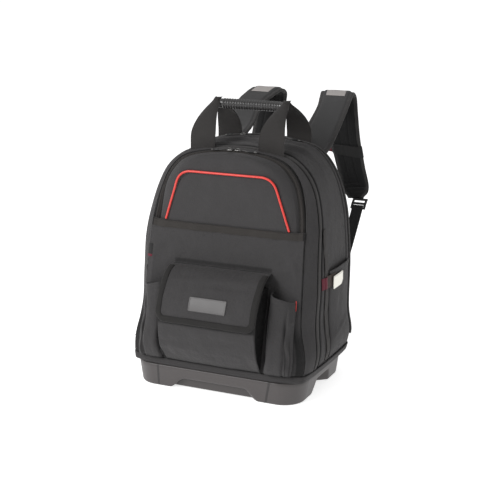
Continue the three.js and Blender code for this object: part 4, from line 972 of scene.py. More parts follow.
def pocket_shade(u, v):
    """Painted shade: below the slim pockets' mouths the panel's outer edge lies in their shadow, and the seam
    edge, a line above the flap and strips beside the pouch are darkened as well.
    """
    a, z = abs(spread(u)), along(PANEL_SEAM, mix(POCKET_FOOT, POCKET_TOP, v)).z
    beside = smooth(a, 0.895, 0.915) * (1 - smooth(z, 125, 165))
    seam_edge = smooth(a, 0.98, 1.0)
    over_flap = (1 - smooth(abs(z - 254), 1.5, 5)) * (1 - smooth(a * 173, 104, 109))
    behind_pouch = (1 - smooth(abs(a * 173 - 108), 3, 8)) * (1 - smooth(z, 200, 215))
    return max(0.9 * beside, 0.9 * seam_edge, 0.95 * behind_pouch, 0.6 * over_flap)


pocket = lay("pocket_panel", raised(pocket_point, pocket_lift), 200, 150, (364, 270), shade_at=pocket_shade)
wall(pocket, 1.8, soft_edge=False)
done(pocket, ["pocket_panel"], fabric("pocket cloth", CHARCOAL, stitches=[(1, 0.006)], rumple=0.5))

HEM_HEIGHT = 14
HEM_FOOT = share_at(PANEL_SEAM, along(PANEL_SEAM, POCKET_TOP).z - HEM_HEIGHT)
HEM_SECTION = [(0.0, 3.2), (0.03, 4.3), (0.5, 4.7), (0.93, 4.5), (1.0, 3.9), (1.02, 2.6), (1.0, 1.2),
               (0.9, 0.9)]


def hem_point(u, v):
    rise_share, lift = row_at(HEM_SECTION, v)
    a = (2 * u - 1) * 0.985
    share = mix(HEM_FOOT, POCKET_TOP, rise_share)
    p = lower_face(share, a)
    lift += 0.35 * math.sin(a * 14) + 0.3 * math.sin(a * 31 + 1)
    ahead = (lower_face(share, a + 0.01) - lower_face(share, a - 0.01)).normalized()
    outwards = ahead.cross(Vector((0, 0, 1))).normalized()
    return sag(p) + outwards * lift


# Painted shade along the hem's lower edge and at its two ends
hem_cloth = fabric("hem tape", (0.026, 0.0229, 0.0207), pitch=0.0009, ribs=(0, 0.0017),
                   stitches=[(1, 0.0026), (1, 0.0115)],
                   shades=[(1, 0.0, 0.002, 0.7), (0, 0.0, 0.004, 0.9), (0, 0.352, 0.004, 0.9)])
hem = lay("pocket_hem", hem_point, 200, 28, (352, 26))
wall(hem, 0.8, soft_edge=False)
done(hem, ["pocket_hem"], hem_cloth, angle=70)

# %% [markdown]
# ## The flap pouch
# The pouch is a box of cloth with a folded pleat down each side, so it can open out. From above,
# one row of it is a wide curve with an inward fold at each end; the rows swell and shrink with
# height. A few soft creases keep its front from looking like a board.

# %% Flap pouch
# height, how proud of the face
POUCH = [(0.04, 0.06), (0.09, 0.4), (0.16, 0.72), (0.24, 0.93), (0.31, 0.95), (0.37, 0.78), (0.41, 0.56)]
pouch_proud = profile(POUCH, 1)
POUCH_DEPTH, PLEAT = 58.0, 10.0


def pouch_face(z):
    return face_y(z) - 4.6


pouch_cache = {}


def pouch_row(v):
    key = round(v, 4)
    if key not in pouch_cache:
        share = mix(0.04, 0.41, v)
        z = height_at(share)
        rear, out = pouch_face(z), pouch_proud(share) * POUCH_DEPTH
        pleat = min(PLEAT, out * 0.4)
        half = [(0, rear - out - 2), (26, rear - out - 1.9), (52, rear - out - 1.2), (78, rear - out - 0.6),
                (98, rear - out), (102.6, rear - out + 0.6), (103.6, rear - out * 0.9),
                (103 - pleat * 0.5, rear - out * 0.72), (102.5 - pleat, rear - out * 0.5),
                (102 - pleat * 0.5, rear - out * 0.28), (101.8, rear - 0.4)]
        half = [Vector((x, y, z)) for x, y in half]
        pouch_cache[key] = curve_through([Vector((-p.x, p.y, p.z)) for p in reversed(half[1:])] + half, 200)
    return pouch_cache[key]


def pouch_point(u, v):
    p = along(pouch_row(v), u)
    front = smooth(abs(u - 0.5), 0.31, 0.27)
    crease = (1.3 * hump(p.z, 118 + 0.09 * p.x, 9) - 1.1 * hump(p.z, 96 - 0.05 * p.x, 7)
              + 1.6 * noise.noise(Vector((p.x / 42, 3.3, p.z / 25))))
    corner = 2.6 * hump(abs(p.x), 88, 16) * hump(p.z, 84, 15)
    return sag(p + Vector((0, (crease * 0.8 + corner) * front, 0)))


# Painted shade on the pouch: its pleated sides, a band at the flap's lower edge, the part hidden under the
# flap and the foot
def pouch_shade(u, v):
    a = abs(u - 0.5) * 2
    under_flap = 1 - smooth(abs(v - 0.58), 0.03, 0.07)
    foot = 0.8 * (1 - smooth(v, 0.0, 0.03))
    return max(0.97 * smooth(a, 0.5, 0.6), 0.75 * under_flap, smooth(v, 0.66, 0.7), foot)


pouch = lay("flap_pouch", pouch_point, 240, 90, (330, 160), shade_at=pouch_shade)
wall(pouch, 1.8)
pouch_cloth = fabric("pouch cloth", CHARCOAL, stitches=[(1, 0.153)], rumple=0.6)
done(pouch, ["flap_pouch"], pouch_cloth)

# %% [markdown]
# ## The flap
# The flap hangs from the pocket panel over the pouch's mouth and down its front. Its outline has
# round lower corners: near its end each row gets narrower as a circle does. One function puts any
# point of it in space, so that the tape round its rim and the rubber patch follow the same cloth.

# %% Flap
# height, how proud of the face, from the sewn edge down to the free end
FLAP = [(0.474, -0.015), (0.471, 0.32), (0.455, 0.56), (0.42, 0.78), (0.37, 0.98), (0.31, 1.08), (0.25, 1.07)]
FLAP_HALF, FLAP_CORNER, FLAP_THICK = 106.0, 20.0, 2.4
flap_line = curve_through([(0, pouch_face(height_at(h)) - proud * POUCH_DEPTH, height_at(h))
                           for h, proud in reversed(FLAP)], 200)
steps = [0.0]
for first, second in zip(flap_line, flap_line[1:]):
    steps.append(steps[-1] + (second - first).length)
FLAP_LENGTH = steps[-1]


def flap_at(from_end):
    """The middle of the flap at a length from its free end, and its outward direction there."""
    distance = clamp(from_end, 0, FLAP_LENGTH)
    low = max(i for i, s in enumerate(steps) if s <= distance)
    low = min(low, len(flap_line) - 2)
    t = (distance - steps[low]) / (steps[low + 1] - steps[low])
    first, last = flap_line[max(low - 3, 0)], flap_line[min(low + 4, len(flap_line) - 1)]
    run = (last - first).normalized()
    beyond = from_end - distance
    place = flap_line[low].lerp(flap_line[low + 1], t) + run * beyond
    return place, Vector((1, 0, 0)).cross(run).normalized()


def flap_surface(x, from_end, lift=0.0):
    p, outwards = flap_at(from_end)
    across = abs(x) / FLAP_HALF
    puff = (1.4 * hump(from_end, 62, 40) * (1 - across**2)
            - 1.8 * hump(across, 1, 0.22) * hump(from_end, 8, 26))
    fold = (1.2 * hump(from_end, 92 + 0.06 * x, 7) * (1 - across**4)
            - 1.0 * hump(from_end, 80, 6) * hump(x, 35, 50))
    ripple = 0.7 * noise.noise(Vector((x / 34, from_end / 26, 5.1)))
    return sag(Vector((x, p.y, p.z))) + outwards * (lift + puff + fold + ripple)


def flap_width(from_end):
    down = max(FLAP_CORNER - from_end, 0)
    return FLAP_HALF - FLAP_CORNER + math.sqrt(max(FLAP_CORNER**2 - down**2, 0))


def flap_point(u, v):
    from_end = FLAP_LENGTH * v**1.8
    return flap_surface((2 * u - 1) * flap_width(from_end), from_end)


flap = lay("pouch_flap", flap_point, 130, 100, (212, FLAP_LENGTH))
wall(flap, FLAP_THICK)
# Painted shade along the flap's sewn top edge
done(flap, ["pouch_flap"], fabric(
    "flap cloth", CHARCOAL, rumple=0.6, shades=[(1, FLAP_LENGTH / 1000, 0.004, 0.8)]))
print("flap length", round(FLAP_LENGTH), "mm")

# %% [markdown]
# The tape is folded round the flap's rim: it starts 11 mm in on the outer side, goes over the edge
# and comes back underneath. Its path is a side, a quarter circle, the end, and the same mirrored.

# %% Flap binding
RIM_SECTION = [(11.0, 0.2), (10.8, 1.1), (8.0, 1.5), (4.0, 1.6), (1.2, 1.4), (-0.7, 0.6), (-1.3, -1.0),
               (-0.8, -2.8), (1.0, -3.6), (5.0, -3.7), (5.4, -2.7)]
RIM_TOP = FLAP_LENGTH * 0.86


def rim_place(t, inset):
    side, corner, end = RIM_TOP - FLAP_CORNER, FLAP_CORNER * math.pi / 2, FLAP_HALF - FLAP_CORNER
    run = abs(t - 0.5) * 2 * (side + corner + end)
    mirror = 1 if t >= 0.5 else -1
    if run < end:
        return mirror * run, inset
    if run < end + corner:
        angle = (run - end) / FLAP_CORNER
        radius = FLAP_CORNER - inset
        return mirror * (end + radius * math.sin(angle)), FLAP_CORNER - radius * math.cos(angle)
    return mirror * (FLAP_HALF - inset), FLAP_CORNER + run - end - corner


def rim_point(u, v):
    inset, lift = row_at(RIM_SECTION, v)
    place = rim_place(u, inset)
    return flap_surface(place[0], place[1], lift)


rim_tape = fabric("flap tape", (0.0125, 0.0115, 0.011), pitch=0.0008, ribs=(0, 0.0015),
                  stitches=[(1, 0.0035)])
rim = lay("flap_binding", rim_point, 260, 30, (420, 26), flip=True)
wall(rim, 0.5, soft_edge=False)
done(rim, ["flap_binding"], rim_tape, angle=70)

# %% [markdown]
# The patch is a small moulded plate. It is left bare, with a low raised border and round corners,
# and it bends with the flap.

# %% Bare patch
PATCH_HALF_WIDTH, PATCH_FOOT, PATCH_HEIGHT, PATCH_SHIFT = 40.0, 26.0, 28.0, 4.0


def patch_point(u, v):
    a, b = (2 * u - 1), (2 * v - 1)
    a, b = math.sin(a * math.pi / 2), math.sin(b * math.pi / 2)
    half_height = PATCH_HEIGHT / 2
    corner = 3.0
    down = max(abs(b) * half_height - (half_height - corner), 0)
    width = PATCH_HALF_WIDTH - corner + math.sqrt(max(corner**2 - down**2, 0))
    edge = min((1 - abs(a)) * width, (1 - abs(b)) * half_height)
    lift = 0.5 + 1.7 * smooth(edge, -0.2, 1.0) - 0.6 * smooth(edge, 2.2, 2.9)
    return flap_surface(PATCH_SHIFT + a * width, PATCH_FOOT + (1 + b) * half_height, lift)


patch = lay("label_patch", patch_point, 110, 60, (80, 28))
wall(patch, 1.0, soft_edge=False)
done(patch, ["label_patch"], bare_patch)

# %% [markdown]
# ## Slim pockets
# Two narrow pockets flank the pouch. Each stands proudest near the pouch and slopes off to its
# outer edge, where the spare cloth lies in small bellows folds. A hem thickens the mouth.

# %% Slim pockets
# height, bulge; then place across, how proud
SLIM = [(0.04, 0.3), (0.07, 0.55), (0.12, 0.8), (0.2, 0.95), (0.3, 1.0), (0.4, 1.0)]
SLIM_ACROSS = [(0.0, 0.03), (0.02, 0.55), (0.12, 0.97), (0.4, 1.0), (0.75, 0.78), (0.95, 0.4), (1.0, 0.03)]
slim_bulge, slim_proud = profile(SLIM, 1), profile(SLIM_ACROSS, 1)
SLIM_INNER, SLIM_WIDTH, SLIM_DEPTH, MOUTH_DROP = 113.0, 50.0, 27.0, 0.035


def slim_place(side):
    def place(u, v):
        share = mix(0.04, 0.4, v)
        u = 0.5 - 0.5 * math.cos(math.pi * clamp(u))
        drop = MOUTH_DROP * u * smooth(share, 0.22, 0.4)
        z = height_at(share - drop)
        x = SLIM_INNER - 4 * (1 - u) * (1 - smooth(z, 66, 100)) + u * SLIM_WIDTH
        out = max(slim_proud(u), 0.0) * slim_bulge(share) * SLIM_DEPTH + 0.4
        inside = smooth(u, 0.04, 0.2) * smooth(1 - u, 0.0, 0.12)
        bellows = 2.6 * smooth(u, 0.66, 0.86) * math.sin(z * 0.13 + u * 5) * (1 - smooth(share, 0.26, 0.36))
        tuck = -3.4 * hump(u, 0.8 - 0.25 * (0.4 - share), 0.05) * (1 - smooth(share, 0.3, 0.38))
        slump = 1.3 * noise.noise(Vector((x / 20, side * 4.0, z / 30)))
        hem_ridge = 0.7 * smooth(v, 0.915, 0.93)
        proud = max(out + (bellows + tuck + slump) * inside, 0.3)
        return sag(Vector((side * x, face_y(z) - 3 - proud - hem_ridge, z)))
    return place


# Painted shade in the slim pocket: along its inner and outer edges, in two bellows pleats and at its foot
def slim_shade(u, v):
    wrap = 1 - smooth(u, 0.0, 0.09)
    pleat = 0.85 * hump(u, 0.72 - 0.1 * v, 0.022) * (1 - smooth(v, 0.55, 0.8))
    pleat2 = 0.7 * hump(u, 0.86 - 0.06 * v, 0.02) * (1 - smooth(v, 0.3, 0.6))
    return max(0.9 * wrap, pleat, pleat2, 0.9 * smooth(u, 0.97, 1.0), 0.8 * (1 - smooth(v, 0.0, 0.02)))


for label, side in (("right", 1), ("left", -1)):
    slim = lay(f"slim_pocket_{label}", slim_place(side), 70, 90, (92, 154), flip=side < 0,
               shade_at=slim_shade)
    wall(slim, 1.6)
    done(slim, [f"slim_pocket_{label}"],
         fabric(f"slim pocket cloth {label}", CHARCOAL, stitches=[(1, 0.142), (1, 0.1505)], rumple=0.6))

# %% [markdown]
# A short loop of red tape is sewn over the right pocket's mouth, and a small bare tag sits in the
# left seam. The loop is a strip turned over at its top; the tag lies flat and ends in crimson.

# %% Red loop and seam tag
right_pocket = slim_place(1)


def loop_point(u, v):
    turn = smooth(v, 0.78, 1.0)
    below = 19 * (1 - min(v / 0.8, 1))
    p = right_pocket(0.92 + 0.04 * u + 0.02 * (1 - v), 1 - below / 154)
    ahead = Vector((0.55, -0.83, 0))
    lift = 1.2 + 0.9 * math.sin(math.pi * clamp(v / 0.8)) * math.sin(math.pi * u) ** 0.5
    angle = math.pi * turn
    return p + ahead * (lift * math.cos(angle) - 0.4 * turn) + Vector((0, 0, 2.2 * math.sin(angle)))


loop = lay("red_loop", loop_point, 10, 44, (5.5, 26))
wall(loop, 0.7, soft_edge=False)
done(loop, ["red_loop"], bright_red, angle=70)


TAG_TOP, TAG_ROWS = 3.52, 0.48


def tag_point(u, v):
    share = 1 - (TAG_TOP - TAG_ROWS * (1 - v)) / ARCH_SPANS
    a, b = along(ZIP_SEAM, share), along(PANEL_SEAM, share)
    p = a.lerp(b, mix(0.0, 0.8, u))
    return sag(p - into_bag(p) * (3.4 + 1.2 * math.sin(math.pi * u) ** 0.5 if 0 < u < 1 else 3.4))


tag = lay("seam_tag", tag_point, 14, 30, (11, 26))
wall(tag, 0.7, soft_edge=False)
done(tag, ["seam_tag"], fabric("bare seam tag", (0.016, 0.0155, 0.016), pitch=0.0008,
                                               stitches=[(0, 0.0018)], thread=(0.06, 0.055, 0.055)))
tag.data.materials.append(crimson)
tag_foot = min(vertex.co.z for vertex in tag.data.vertices)
for face in tag.data.polygons:
    face.material_index = int(face.center.z < tag_foot + 0.0045)

# %% [markdown]
# ## Piping
# A cord in a strip of coated cloth stiffens the front: bright red, up from the hem, round two
# corners and across. A thin flange beside it is what the machine sews through. Darker piping runs
# along the rear seam. A tube is a grid rolled round a line, closed by shrinking its last rows.


# %% Tubes
def tube_place(samples, radius, up=Vector((0, 1, 0)), cap=0.006, flat=1.0):
    def place(u, v):
        p = along(samples, v)
        ahead = (along(samples, min(v + 0.004, 1)) - along(samples, max(v - 0.004, 0))).normalized()
        side = ahead.cross(up).normalized()
        top = side.cross(ahead)
        end = clamp(min(v, 1 - v) / cap)
        r = (radius(v) if callable(radius) else radius) * math.sqrt(max(1 - (1 - end) ** 2, 0))
        angle = 2 * math.pi * u
        return p + side * (r * math.cos(angle)) + top * (r * flat * math.sin(angle))
    return place


def tube(name, samples, radius, sides, rows, slot, nodes, finish, **shape):
    length = sum((b - a).length for a, b in zip(samples, samples[1:]))
    size = 2 * math.pi * (radius(0.5) if callable(radius) else radius)
    piece = lay(name, tube_place(samples, radius, **shape), sides, rows, (size, length))
    weld(piece)
    return done(piece, nodes, finish, angle=60)


# %% Red piping and rear piping
PIPE_FOOT, PIPE_TOP, PIPE_FOOT_HALF, PIPE_CORNER_X, PIPE_CORNER = 330.0, 432.1, 134.0, 99.6, 26.0
foot, corner = Vector((PIPE_FOOT_HALF, 0, PIPE_FOOT)), Vector((PIPE_CORNER_X, 0, PIPE_TOP))
before = corner.lerp(foot, PIPE_CORNER / (corner - foot).length)
after = corner - Vector((PIPE_CORNER, 0, 0))
bend = [before * (1 - t) ** 2 + corner * 2 * t * (1 - t) + after * t * t for t in [k / 8 for k in range(9)]]
top_run = [Vector((40, 0, PIPE_TOP)), Vector((0, 0, PIPE_TOP))]
right_half = [foot.lerp(before, t) for t in (0, 0.25, 0.5, 0.75)] + bend + top_run
flat_line = right_half + [Vector((-p.x, 0, p.z)) for p in reversed(right_half[:-1])]


def on_panel(p, lift):
    edge = share_at(PANEL_SEAM, p.z)
    a = clamp(abs(p.x) / along(PANEL_SEAM, edge).x)
    q = Vector((p.x, mix(face_y(p.z), along(PANEL_SEAM, edge).y, a**9), p.z))
    return sag(q + Vector((0, -1.4 * smooth(p.z, 320, 350), 0))) + Vector((0, -lift, 0))


red_line = curve_through([on_panel(p, 2.0) for p in flat_line], 400)
tube("red_piping", red_line, 2.2, 16, 400, "red_trim", ["red_piping"], piping_red, cap=0.003)


def flange_point(u, v):
    p = along(red_line, v)
    ahead = (along(red_line, min(v + 0.004, 1)) - along(red_line, max(v - 0.004, 0))).normalized()
    outside = ahead.cross(Vector((0, 1, 0))).normalized()
    return p + outside * (1.6 + 3.4 * u) + Vector((0, 1.25 + 0.35 * u, 0))


flange = lay("piping_flange", flange_point, 4, 320, (3.4, 560))
wall(flange, 0.5, soft_edge=False)
done(flange, [], fabric("piping flange", (0.03, 0.028, 0.028), pitch=0.0008, stitches=[(0, 0.0016)]))

rear_line = []
for k in range(121):
    share = mix(0.02, 0.98, k / 120)
    p = along(BACK_SEAM, share)
    outwards = (Vector((p.x, 0, p.z)) - Vector((0, 0, 220))).normalized()
    away = Vector((math.copysign(1, p.x), 0, 0)).lerp(outwards, smooth(p.z, 218, 410)).normalized()
    rear_line.append(sag(p) + away * 0.9)
tube("rear_piping", rear_line, 2.3, 14, 420, "tape", ["rear_piping"], piping_dark, cap=0.002)

# %% [markdown]
# ## The right side
# Everything on the side lies on the shell's cloth, which isn't flat any more. We ask the finished
# shell itself where its surface is, by casting a ray at it, and lay the pieces there.

# %% The shell's side surface
from mathutils.bvhtree import BVHTree

shell_tree = BVHTree.FromObject(shell, bpy.context.evaluated_depsgraph_get())


def skin_x(y, z):
    """The shell's right side at a place, in millimetres."""
    start = metres((260, y, z))
    hit = shell_tree.ray_cast(start, Vector((-1, 0, 0)), 0.2)[0]
    return (hit.x - BASE_MIDDLE.x) * 1000 if hit else 188.0


def calm_skin(y, z):
    spots = [(0, 0), (6, 0), (-6, 0), (0, 8), (0, -8)]
    return sum(skin_x(y + dy, z + dz) for dy, dz in spots) / len(spots)


SIDE_FRONT = along(MAIN_REAR_SEAM, 3 / ARCH_SPANS).y + 14
TAPE_END = SIDE_FRONT + 17
POCKET_START, POCKET_END = TAPE_END + 3.2, TAPE_END + 111.2
POCKET_LOW, POCKET_HIGH = 66.4, 244.4

# %% Side tape: a long loop of webbing, sewn down every hand's width
TAPE_STITCHED = [70, 118, 166, 240, 284, 325]


def side_tape_point(u, v):
    z = mix(POCKET_LOW, height_at(0.66), v)
    y = mix(SIDE_FRONT, TAPE_END, u)
    held = max(hump(z, s, 7) for s in TAPE_STITCHED)
    return Vector((calm_skin(y, z) + 1.5 + 0.9 * (1 - held), y, z))


side_tape = lay("side_tape", side_tape_point, 8, 130, (17, 263))
wall(side_tape, 1.0, soft_edge=False)
done(side_tape, ["side_tape"], webbing)


# %% Side pocket: swollen at its mouth, pinned at its other three edges
def side_pocket_point(u, v):
    z, y = mix(POCKET_LOW, POCKET_HIGH, v), mix(POCKET_START, POCKET_END, u)
    swell = 5.6 * math.sin(math.pi * u) ** 0.5 * min(1, v * 4) ** 0.8 if 0 < u < 1 else 0
    fold = 1.1 * noise.noise(Vector((y / 22, 1.5, z / 26))) * math.sin(math.pi * u)
    fold += 1.2 * hump(z, 118 + 0.3 * (y - 50), 6) * math.sin(math.pi * u)
    ridge = 0.7 * smooth(v, 0.94, 0.95)
    return Vector((calm_skin(y, z) + 2.0 + max(swell + fold * (swell > 1), 0) + ridge, y, z))


side_pocket = lay("side_pocket", side_pocket_point, 60, 100, (124, 178))
wall(side_pocket, 1.6)
done(side_pocket, ["side_pocket"],
     fabric("side pocket cloth", CHARCOAL, stitches=[(1, 0.169), (0, 0.004)]))


# %% [markdown]
# The clip is a flat steel plate held on the pocket's mouth by a piece of webbing. We bevel a
# plate that has one cut corner, and let the webbing run on behind it and round its front edge.

# %% Clip webbing, plate and crimson tab
WEB_AHEAD = 18  # in front of the plate
WEB_TOP = POCKET_HIGH - 7
WEB_FOOT = WEB_TOP - 25
CLIP_START, CLIP_LENGTH, CLIP_HEIGHT = POCKET_START + 4, 50.0, 26.0
CLIP_FOOT = WEB_TOP - 4 - CLIP_HEIGHT


def pocket_skin(y, z):
    u, v = (y - POCKET_START) / (POCKET_END - POCKET_START), (z - POCKET_LOW) / (POCKET_HIGH - POCKET_LOW)
    return side_pocket_point(clamp(u), clamp(v)).x


plate_x = max(pocket_skin(CLIP_START + 10 * j, CLIP_FOOT + 5 * k) for j in range(6) for k in range(6)) + 1.6


def clip_webbing_point(u, v):
    z, y = mix(WEB_FOOT, WEB_TOP, v), mix(CLIP_START - WEB_AHEAD, CLIP_START + CLIP_LENGTH * 0.36, u)
    held = smooth(y, CLIP_START - WEB_AHEAD, CLIP_START - 6)
    x = mix(calm_skin(y, z) + 3.4, pocket_skin(y, (WEB_FOOT + WEB_TOP) / 2) + 2.0, held)
    return Vector((min(x, plate_x - 1.2) + 1.2 * hump(y, CLIP_START - 8, 6), y, z))


clip_webbing = lay("clip_webbing", clip_webbing_point, 50, 12, (59, 25))
wall(clip_webbing, 1.6)
done(clip_webbing, ["clip_webbing"],
     fabric("brownish webbing", (0.052, 0.038, 0.032), pitch=0.0011, ribs=(1, 0.0021), bump=0.6,
            stitches=[(0, 0.004), (0, 0.02)], thread=(0.2, 0.19, 0.18)))

outline_yz = [(0, 0), (CLIP_LENGTH - 8, 0), (CLIP_LENGTH, 8), (CLIP_LENGTH, CLIP_HEIGHT), (0, CLIP_HEIGHT)]
deselect()
bpy.ops.mesh.primitive_circle_add(vertices=5, radius=1, fill_type="NGON")
plate = bpy.context.object
plate.name = plate.data.name = "clip_plate_finished"
for vertex, (y, z) in zip(plate.data.vertices, outline_yz):
    vertex.co = metres((plate_x, CLIP_START + y, CLIP_FOOT + z))
bpy.ops.object.mode_set(mode="EDIT")
bpy.ops.mesh.select_all(action="SELECT")
bpy.ops.mesh.normals_make_consistent(inside=False)
bpy.ops.mesh.bevel(offset=0.0022, segments=5, affect="VERTICES")
bpy.ops.mesh.select_all(action="SELECT")
bpy.ops.mesh.inset(thickness=0.0022, depth=0.0)
bpy.ops.mesh.inset(thickness=0.0006, depth=-0.0005)
bpy.ops.object.mode_set(mode="OBJECT")
modify(plate, "SOLIDIFY", thickness=0.0016, offset=0)
modify(plate, "BEVEL", width=0.0004, segments=3, limit_method="ANGLE", angle_limit=math.radians(50))
weld(plate, distance=0.000005)
done(plate, ["clip_plate"], steel, angle=35)
print("plate at x", round(plate_x, 1))


SIDE_TAB_WIDTH = 22


def side_tab_point(u, v):
    z, y = mix(WEB_FOOT, WEB_TOP - 2, v), SIDE_FRONT - 1 + SIDE_TAB_WIDTH * (u - 0.5)
    on_tape = smooth(y, SIDE_FRONT - 3, SIDE_FRONT + 1)
    return Vector((calm_skin(y, z) + 1.2 + 2.2 * on_tape + 0.8 * math.sin(math.pi * u), y, z))


side_tab = lay("side_red_tab", side_tab_point, 24, 24, (SIDE_TAB_WIDTH, 23))
wall(side_tab, 0.8, soft_edge=False)
done(side_tab, ["side_red_tab"], crimson)

# %% [markdown]
# ## The padded back
# The wearer's side is foam under spacer mesh. Three soft channels let air through. The pad's
# outline follows the rear seam a little way in, and its edge rolls down to the cloth.

# %% Back panel
PAD_LOW, PAD_HALF, PAD_THICK, PAD_MARGIN = 100.0, 165.0, 12.0, 16.0
pad_edge = []
for k in range(61):
    p = along(BACK_SEAM, mix(3 / ARCH_SPANS, 0.5, k / 60))
    outwards = (Vector((p.x, 0, p.z)) - Vector((0, 0, PAD_LOW))).normalized()
    pad_edge.append(Vector((p.x, 0, p.z)) - outwards * PAD_MARGIN)
PAD_HIGH = pad_edge[-1].z


def pad_width(z):
    for a, b in zip(pad_edge, pad_edge[1:]):
        if a.z <= z <= b.z:
            return min(mix(a.x, b.x, (z - a.z) / (b.z - a.z)), PAD_HALF)
    return PAD_HALF if z < pad_edge[0].z else 0.0


def pad_point(u, v):
    b = math.sin(math.pi * (v - 0.5))
    z = mix(PAD_LOW, PAD_HIGH, 0.5 + 0.5 * b)
    width = max(pad_width(z) - 6 * (1 - smooth(z, PAD_LOW, PAD_LOW + 14)) ** 2, 0.01)
    a = spread(u)
    edge = min((1 - abs(a)) * width, z - PAD_LOW, (PAD_HIGH - z) * 0.8 + 2 * (1 - abs(a)))
    x = a * width
    roll = math.sqrt(clamp(1 - (1 - clamp(edge / 9)) ** 2))
    channel = 5.5 * hump(x, 0, 13) + 3.4 * (hump(z, 210, 7) + hump(z, 330, 7)) * smooth(edge, 4, 18)
    seam_line = 2.2 * hump(edge, 17, 2.4)
    height = PAD_THICK * roll - (channel + seam_line) * smooth(edge, 3, 12)
    return sag(Vector((x, REAR_FACE, z))) + Vector((0, 0.5 + max(height, 0), 0))


pad = lay("back_panel", pad_point, 150, 170, (330, 366), flip=True)
wall(pad, 1.5, soft_edge=False)
weld(pad, outwards=False)
done(pad, ["back_panel"], mesh_cloth, angle=80)

# %% [markdown]
# ## The carry handle
# Four legs of wide webbing rise from the roof and fold together round a ribbed rubber grip. Low
# down a leg is flat; near the grip it narrows, because its two edges are folded backwards. Each
# row of the table gives how far along, how high, how wide and how far out.

# %% Grip
GRIP_Y, GRIP_Z, GRIP_HALF, GRIP_R = REAR_SEAM - 0.245 * BODY_DEPTH, 551.0, 79.0, 10.5
GRIP_RIBBED, GRIP_RIBS = 126, 22


def grip_radius(v):
    x = (v - 0.5) * 2 * GRIP_HALF
    ribbed = smooth(GRIP_RIBBED / 2 - abs(x), 0, 1.5)
    rib = 0.5 + 0.5 * math.cos(2 * math.pi * x / GRIP_RIBBED * GRIP_RIBS)
    return GRIP_R - 1.3 * ribbed * rib**1.5 - 1.0 * (1 - ribbed)


grip_line = [Vector((x, GRIP_Y, GRIP_Z)) for x in (-GRIP_HALF, 0, GRIP_HALF)]
tube("handle_grip", grip_line, grip_radius, 40, 420, "plastic", ["handle_grip"], grip_rubber, cap=0.012)

# %% Legs
LEG_MIDDLE, LEG_HALF = 74, 27
# back, rise, width, shift
FRONT_LEG = [(0.0, 0.007, 1.0, 0.0), (0.005, 0.1, 1.0, 0.0), (0.01, 0.2, 1.0, 0.0),
             (0.05, 0.33, 0.99, 0.0),
             (0.13, 0.47, 0.9, 0.0), (0.26, 0.61, 0.77, 0.005), (0.43, 0.74, 0.61, 0.01),
             (0.63, 0.85, 0.45, 0.015), (0.82, 0.94, 0.32, 0.02), (0.89, 1.0, 0.28, 0.02),
             (1.0, 1.03, 0.28, 0.02)]
REAR_LEG = [(0.0, 0.0, 1.0, 0.05), (0.0, 0.1, 1.0, 0.05), (0.0, 0.2, 1.0, 0.05), (0.05, 0.33, 0.98, 0.05),
            (0.14, 0.47, 0.9, 0.045), (0.26, 0.61, 0.77, 0.04), (0.42, 0.74, 0.6, 0.035),
            (0.61, 0.85, 0.44, 0.03), (0.76, 0.92, 0.31, 0.025), (0.84, 0.97, 0.28, 0.02),
            (0.9, 0.99, 0.28, 0.02)]


def roof_height(samples, x):
    for a, b in zip(samples, samples[1:]):
        if a.z > height_at(0.7) and a.x >= x >= b.x:
            return mix(a.z, b.z, (a.x - x) / max(a.x - b.x, 1e-6))
    return samples[len(samples) // 2].z


def leg_place(rows, start_y, side, seam_line, drop):
    def place(u, v):
        near = [row_at(rows, clamp(v + d)) for d in (-0.04, -0.02, 0, 0.02, 0.04)]
        run, rise_share, width, shift = [sum(column) / 5 for column in zip(*near)]
        rise_share = rise_share if v > 0.1 else mix(rows[0][1], rise_share, v / 0.1)
        middle = LEG_MIDDLE * (1 + shift)
        a = 2 * u - 1
        x = middle + a * width * LEG_HALF
        roof = roof_height(seam_line, x) - drop
        foot = 1 - smooth(v, 0.0, 0.25)
        z = mix(mix(height_at(1), roof, foot), GRIP_Z + GRIP_R, rise_share)
        # the webbing that the narrowing takes from the width is folded behind
        behind = 1 if start_y < GRIP_Y else -1
        y = mix(start_y, GRIP_Y, run) + behind * LEG_HALF * (1 - clamp(width)) * 0.4 * abs(a) ** 3
        cup = 0.6 * (1 - a * a) * smooth(v, 0.1, 0.5)
        return Vector((side * x, y - behind * cup, z))
    return place


leg_webbing = fabric("handle webbing", (0.024, 0.0219, 0.021), pitch=0.0012, ribs=(0, 0.0021), bump=0.5,
                     stitches=[(0, 0.003), (0, 0.051)])
FRONT_LEG_Y, REAR_LEG_Y = REAR_SEAM - 0.545 * BODY_DEPTH, REAR_SEAM + 2.4
for label, side in (("right", 1), ("left", -1)):
    for name, rows, start, line, drop in (("front", FRONT_LEG, FRONT_LEG_Y, MAIN_SEAM, 0.4),
                                          ("rear", REAR_LEG, REAR_LEG_Y, BACK_SEAM, 2.4)):
        leg = lay(f"{name}_handle_{label}", leg_place(rows, start, side, line, drop), 40, 110, (54, 110),
                  flip=(side < 0) != (name == "rear"))
        wall(leg, 2.0)
        done(leg, [f"{name}_handle_{label}"], leg_webbing)

# %% [markdown]
# ## Shoulder straps
# A strap is foam between a cloth face and a mesh face, thin at the bound edges and thick between
# them. Two guide lines, its inner and outer edge, carry it up from the back, over the top and
# down. Across it the section is a flattened loop; its upper half is cloth, its lower half mesh.

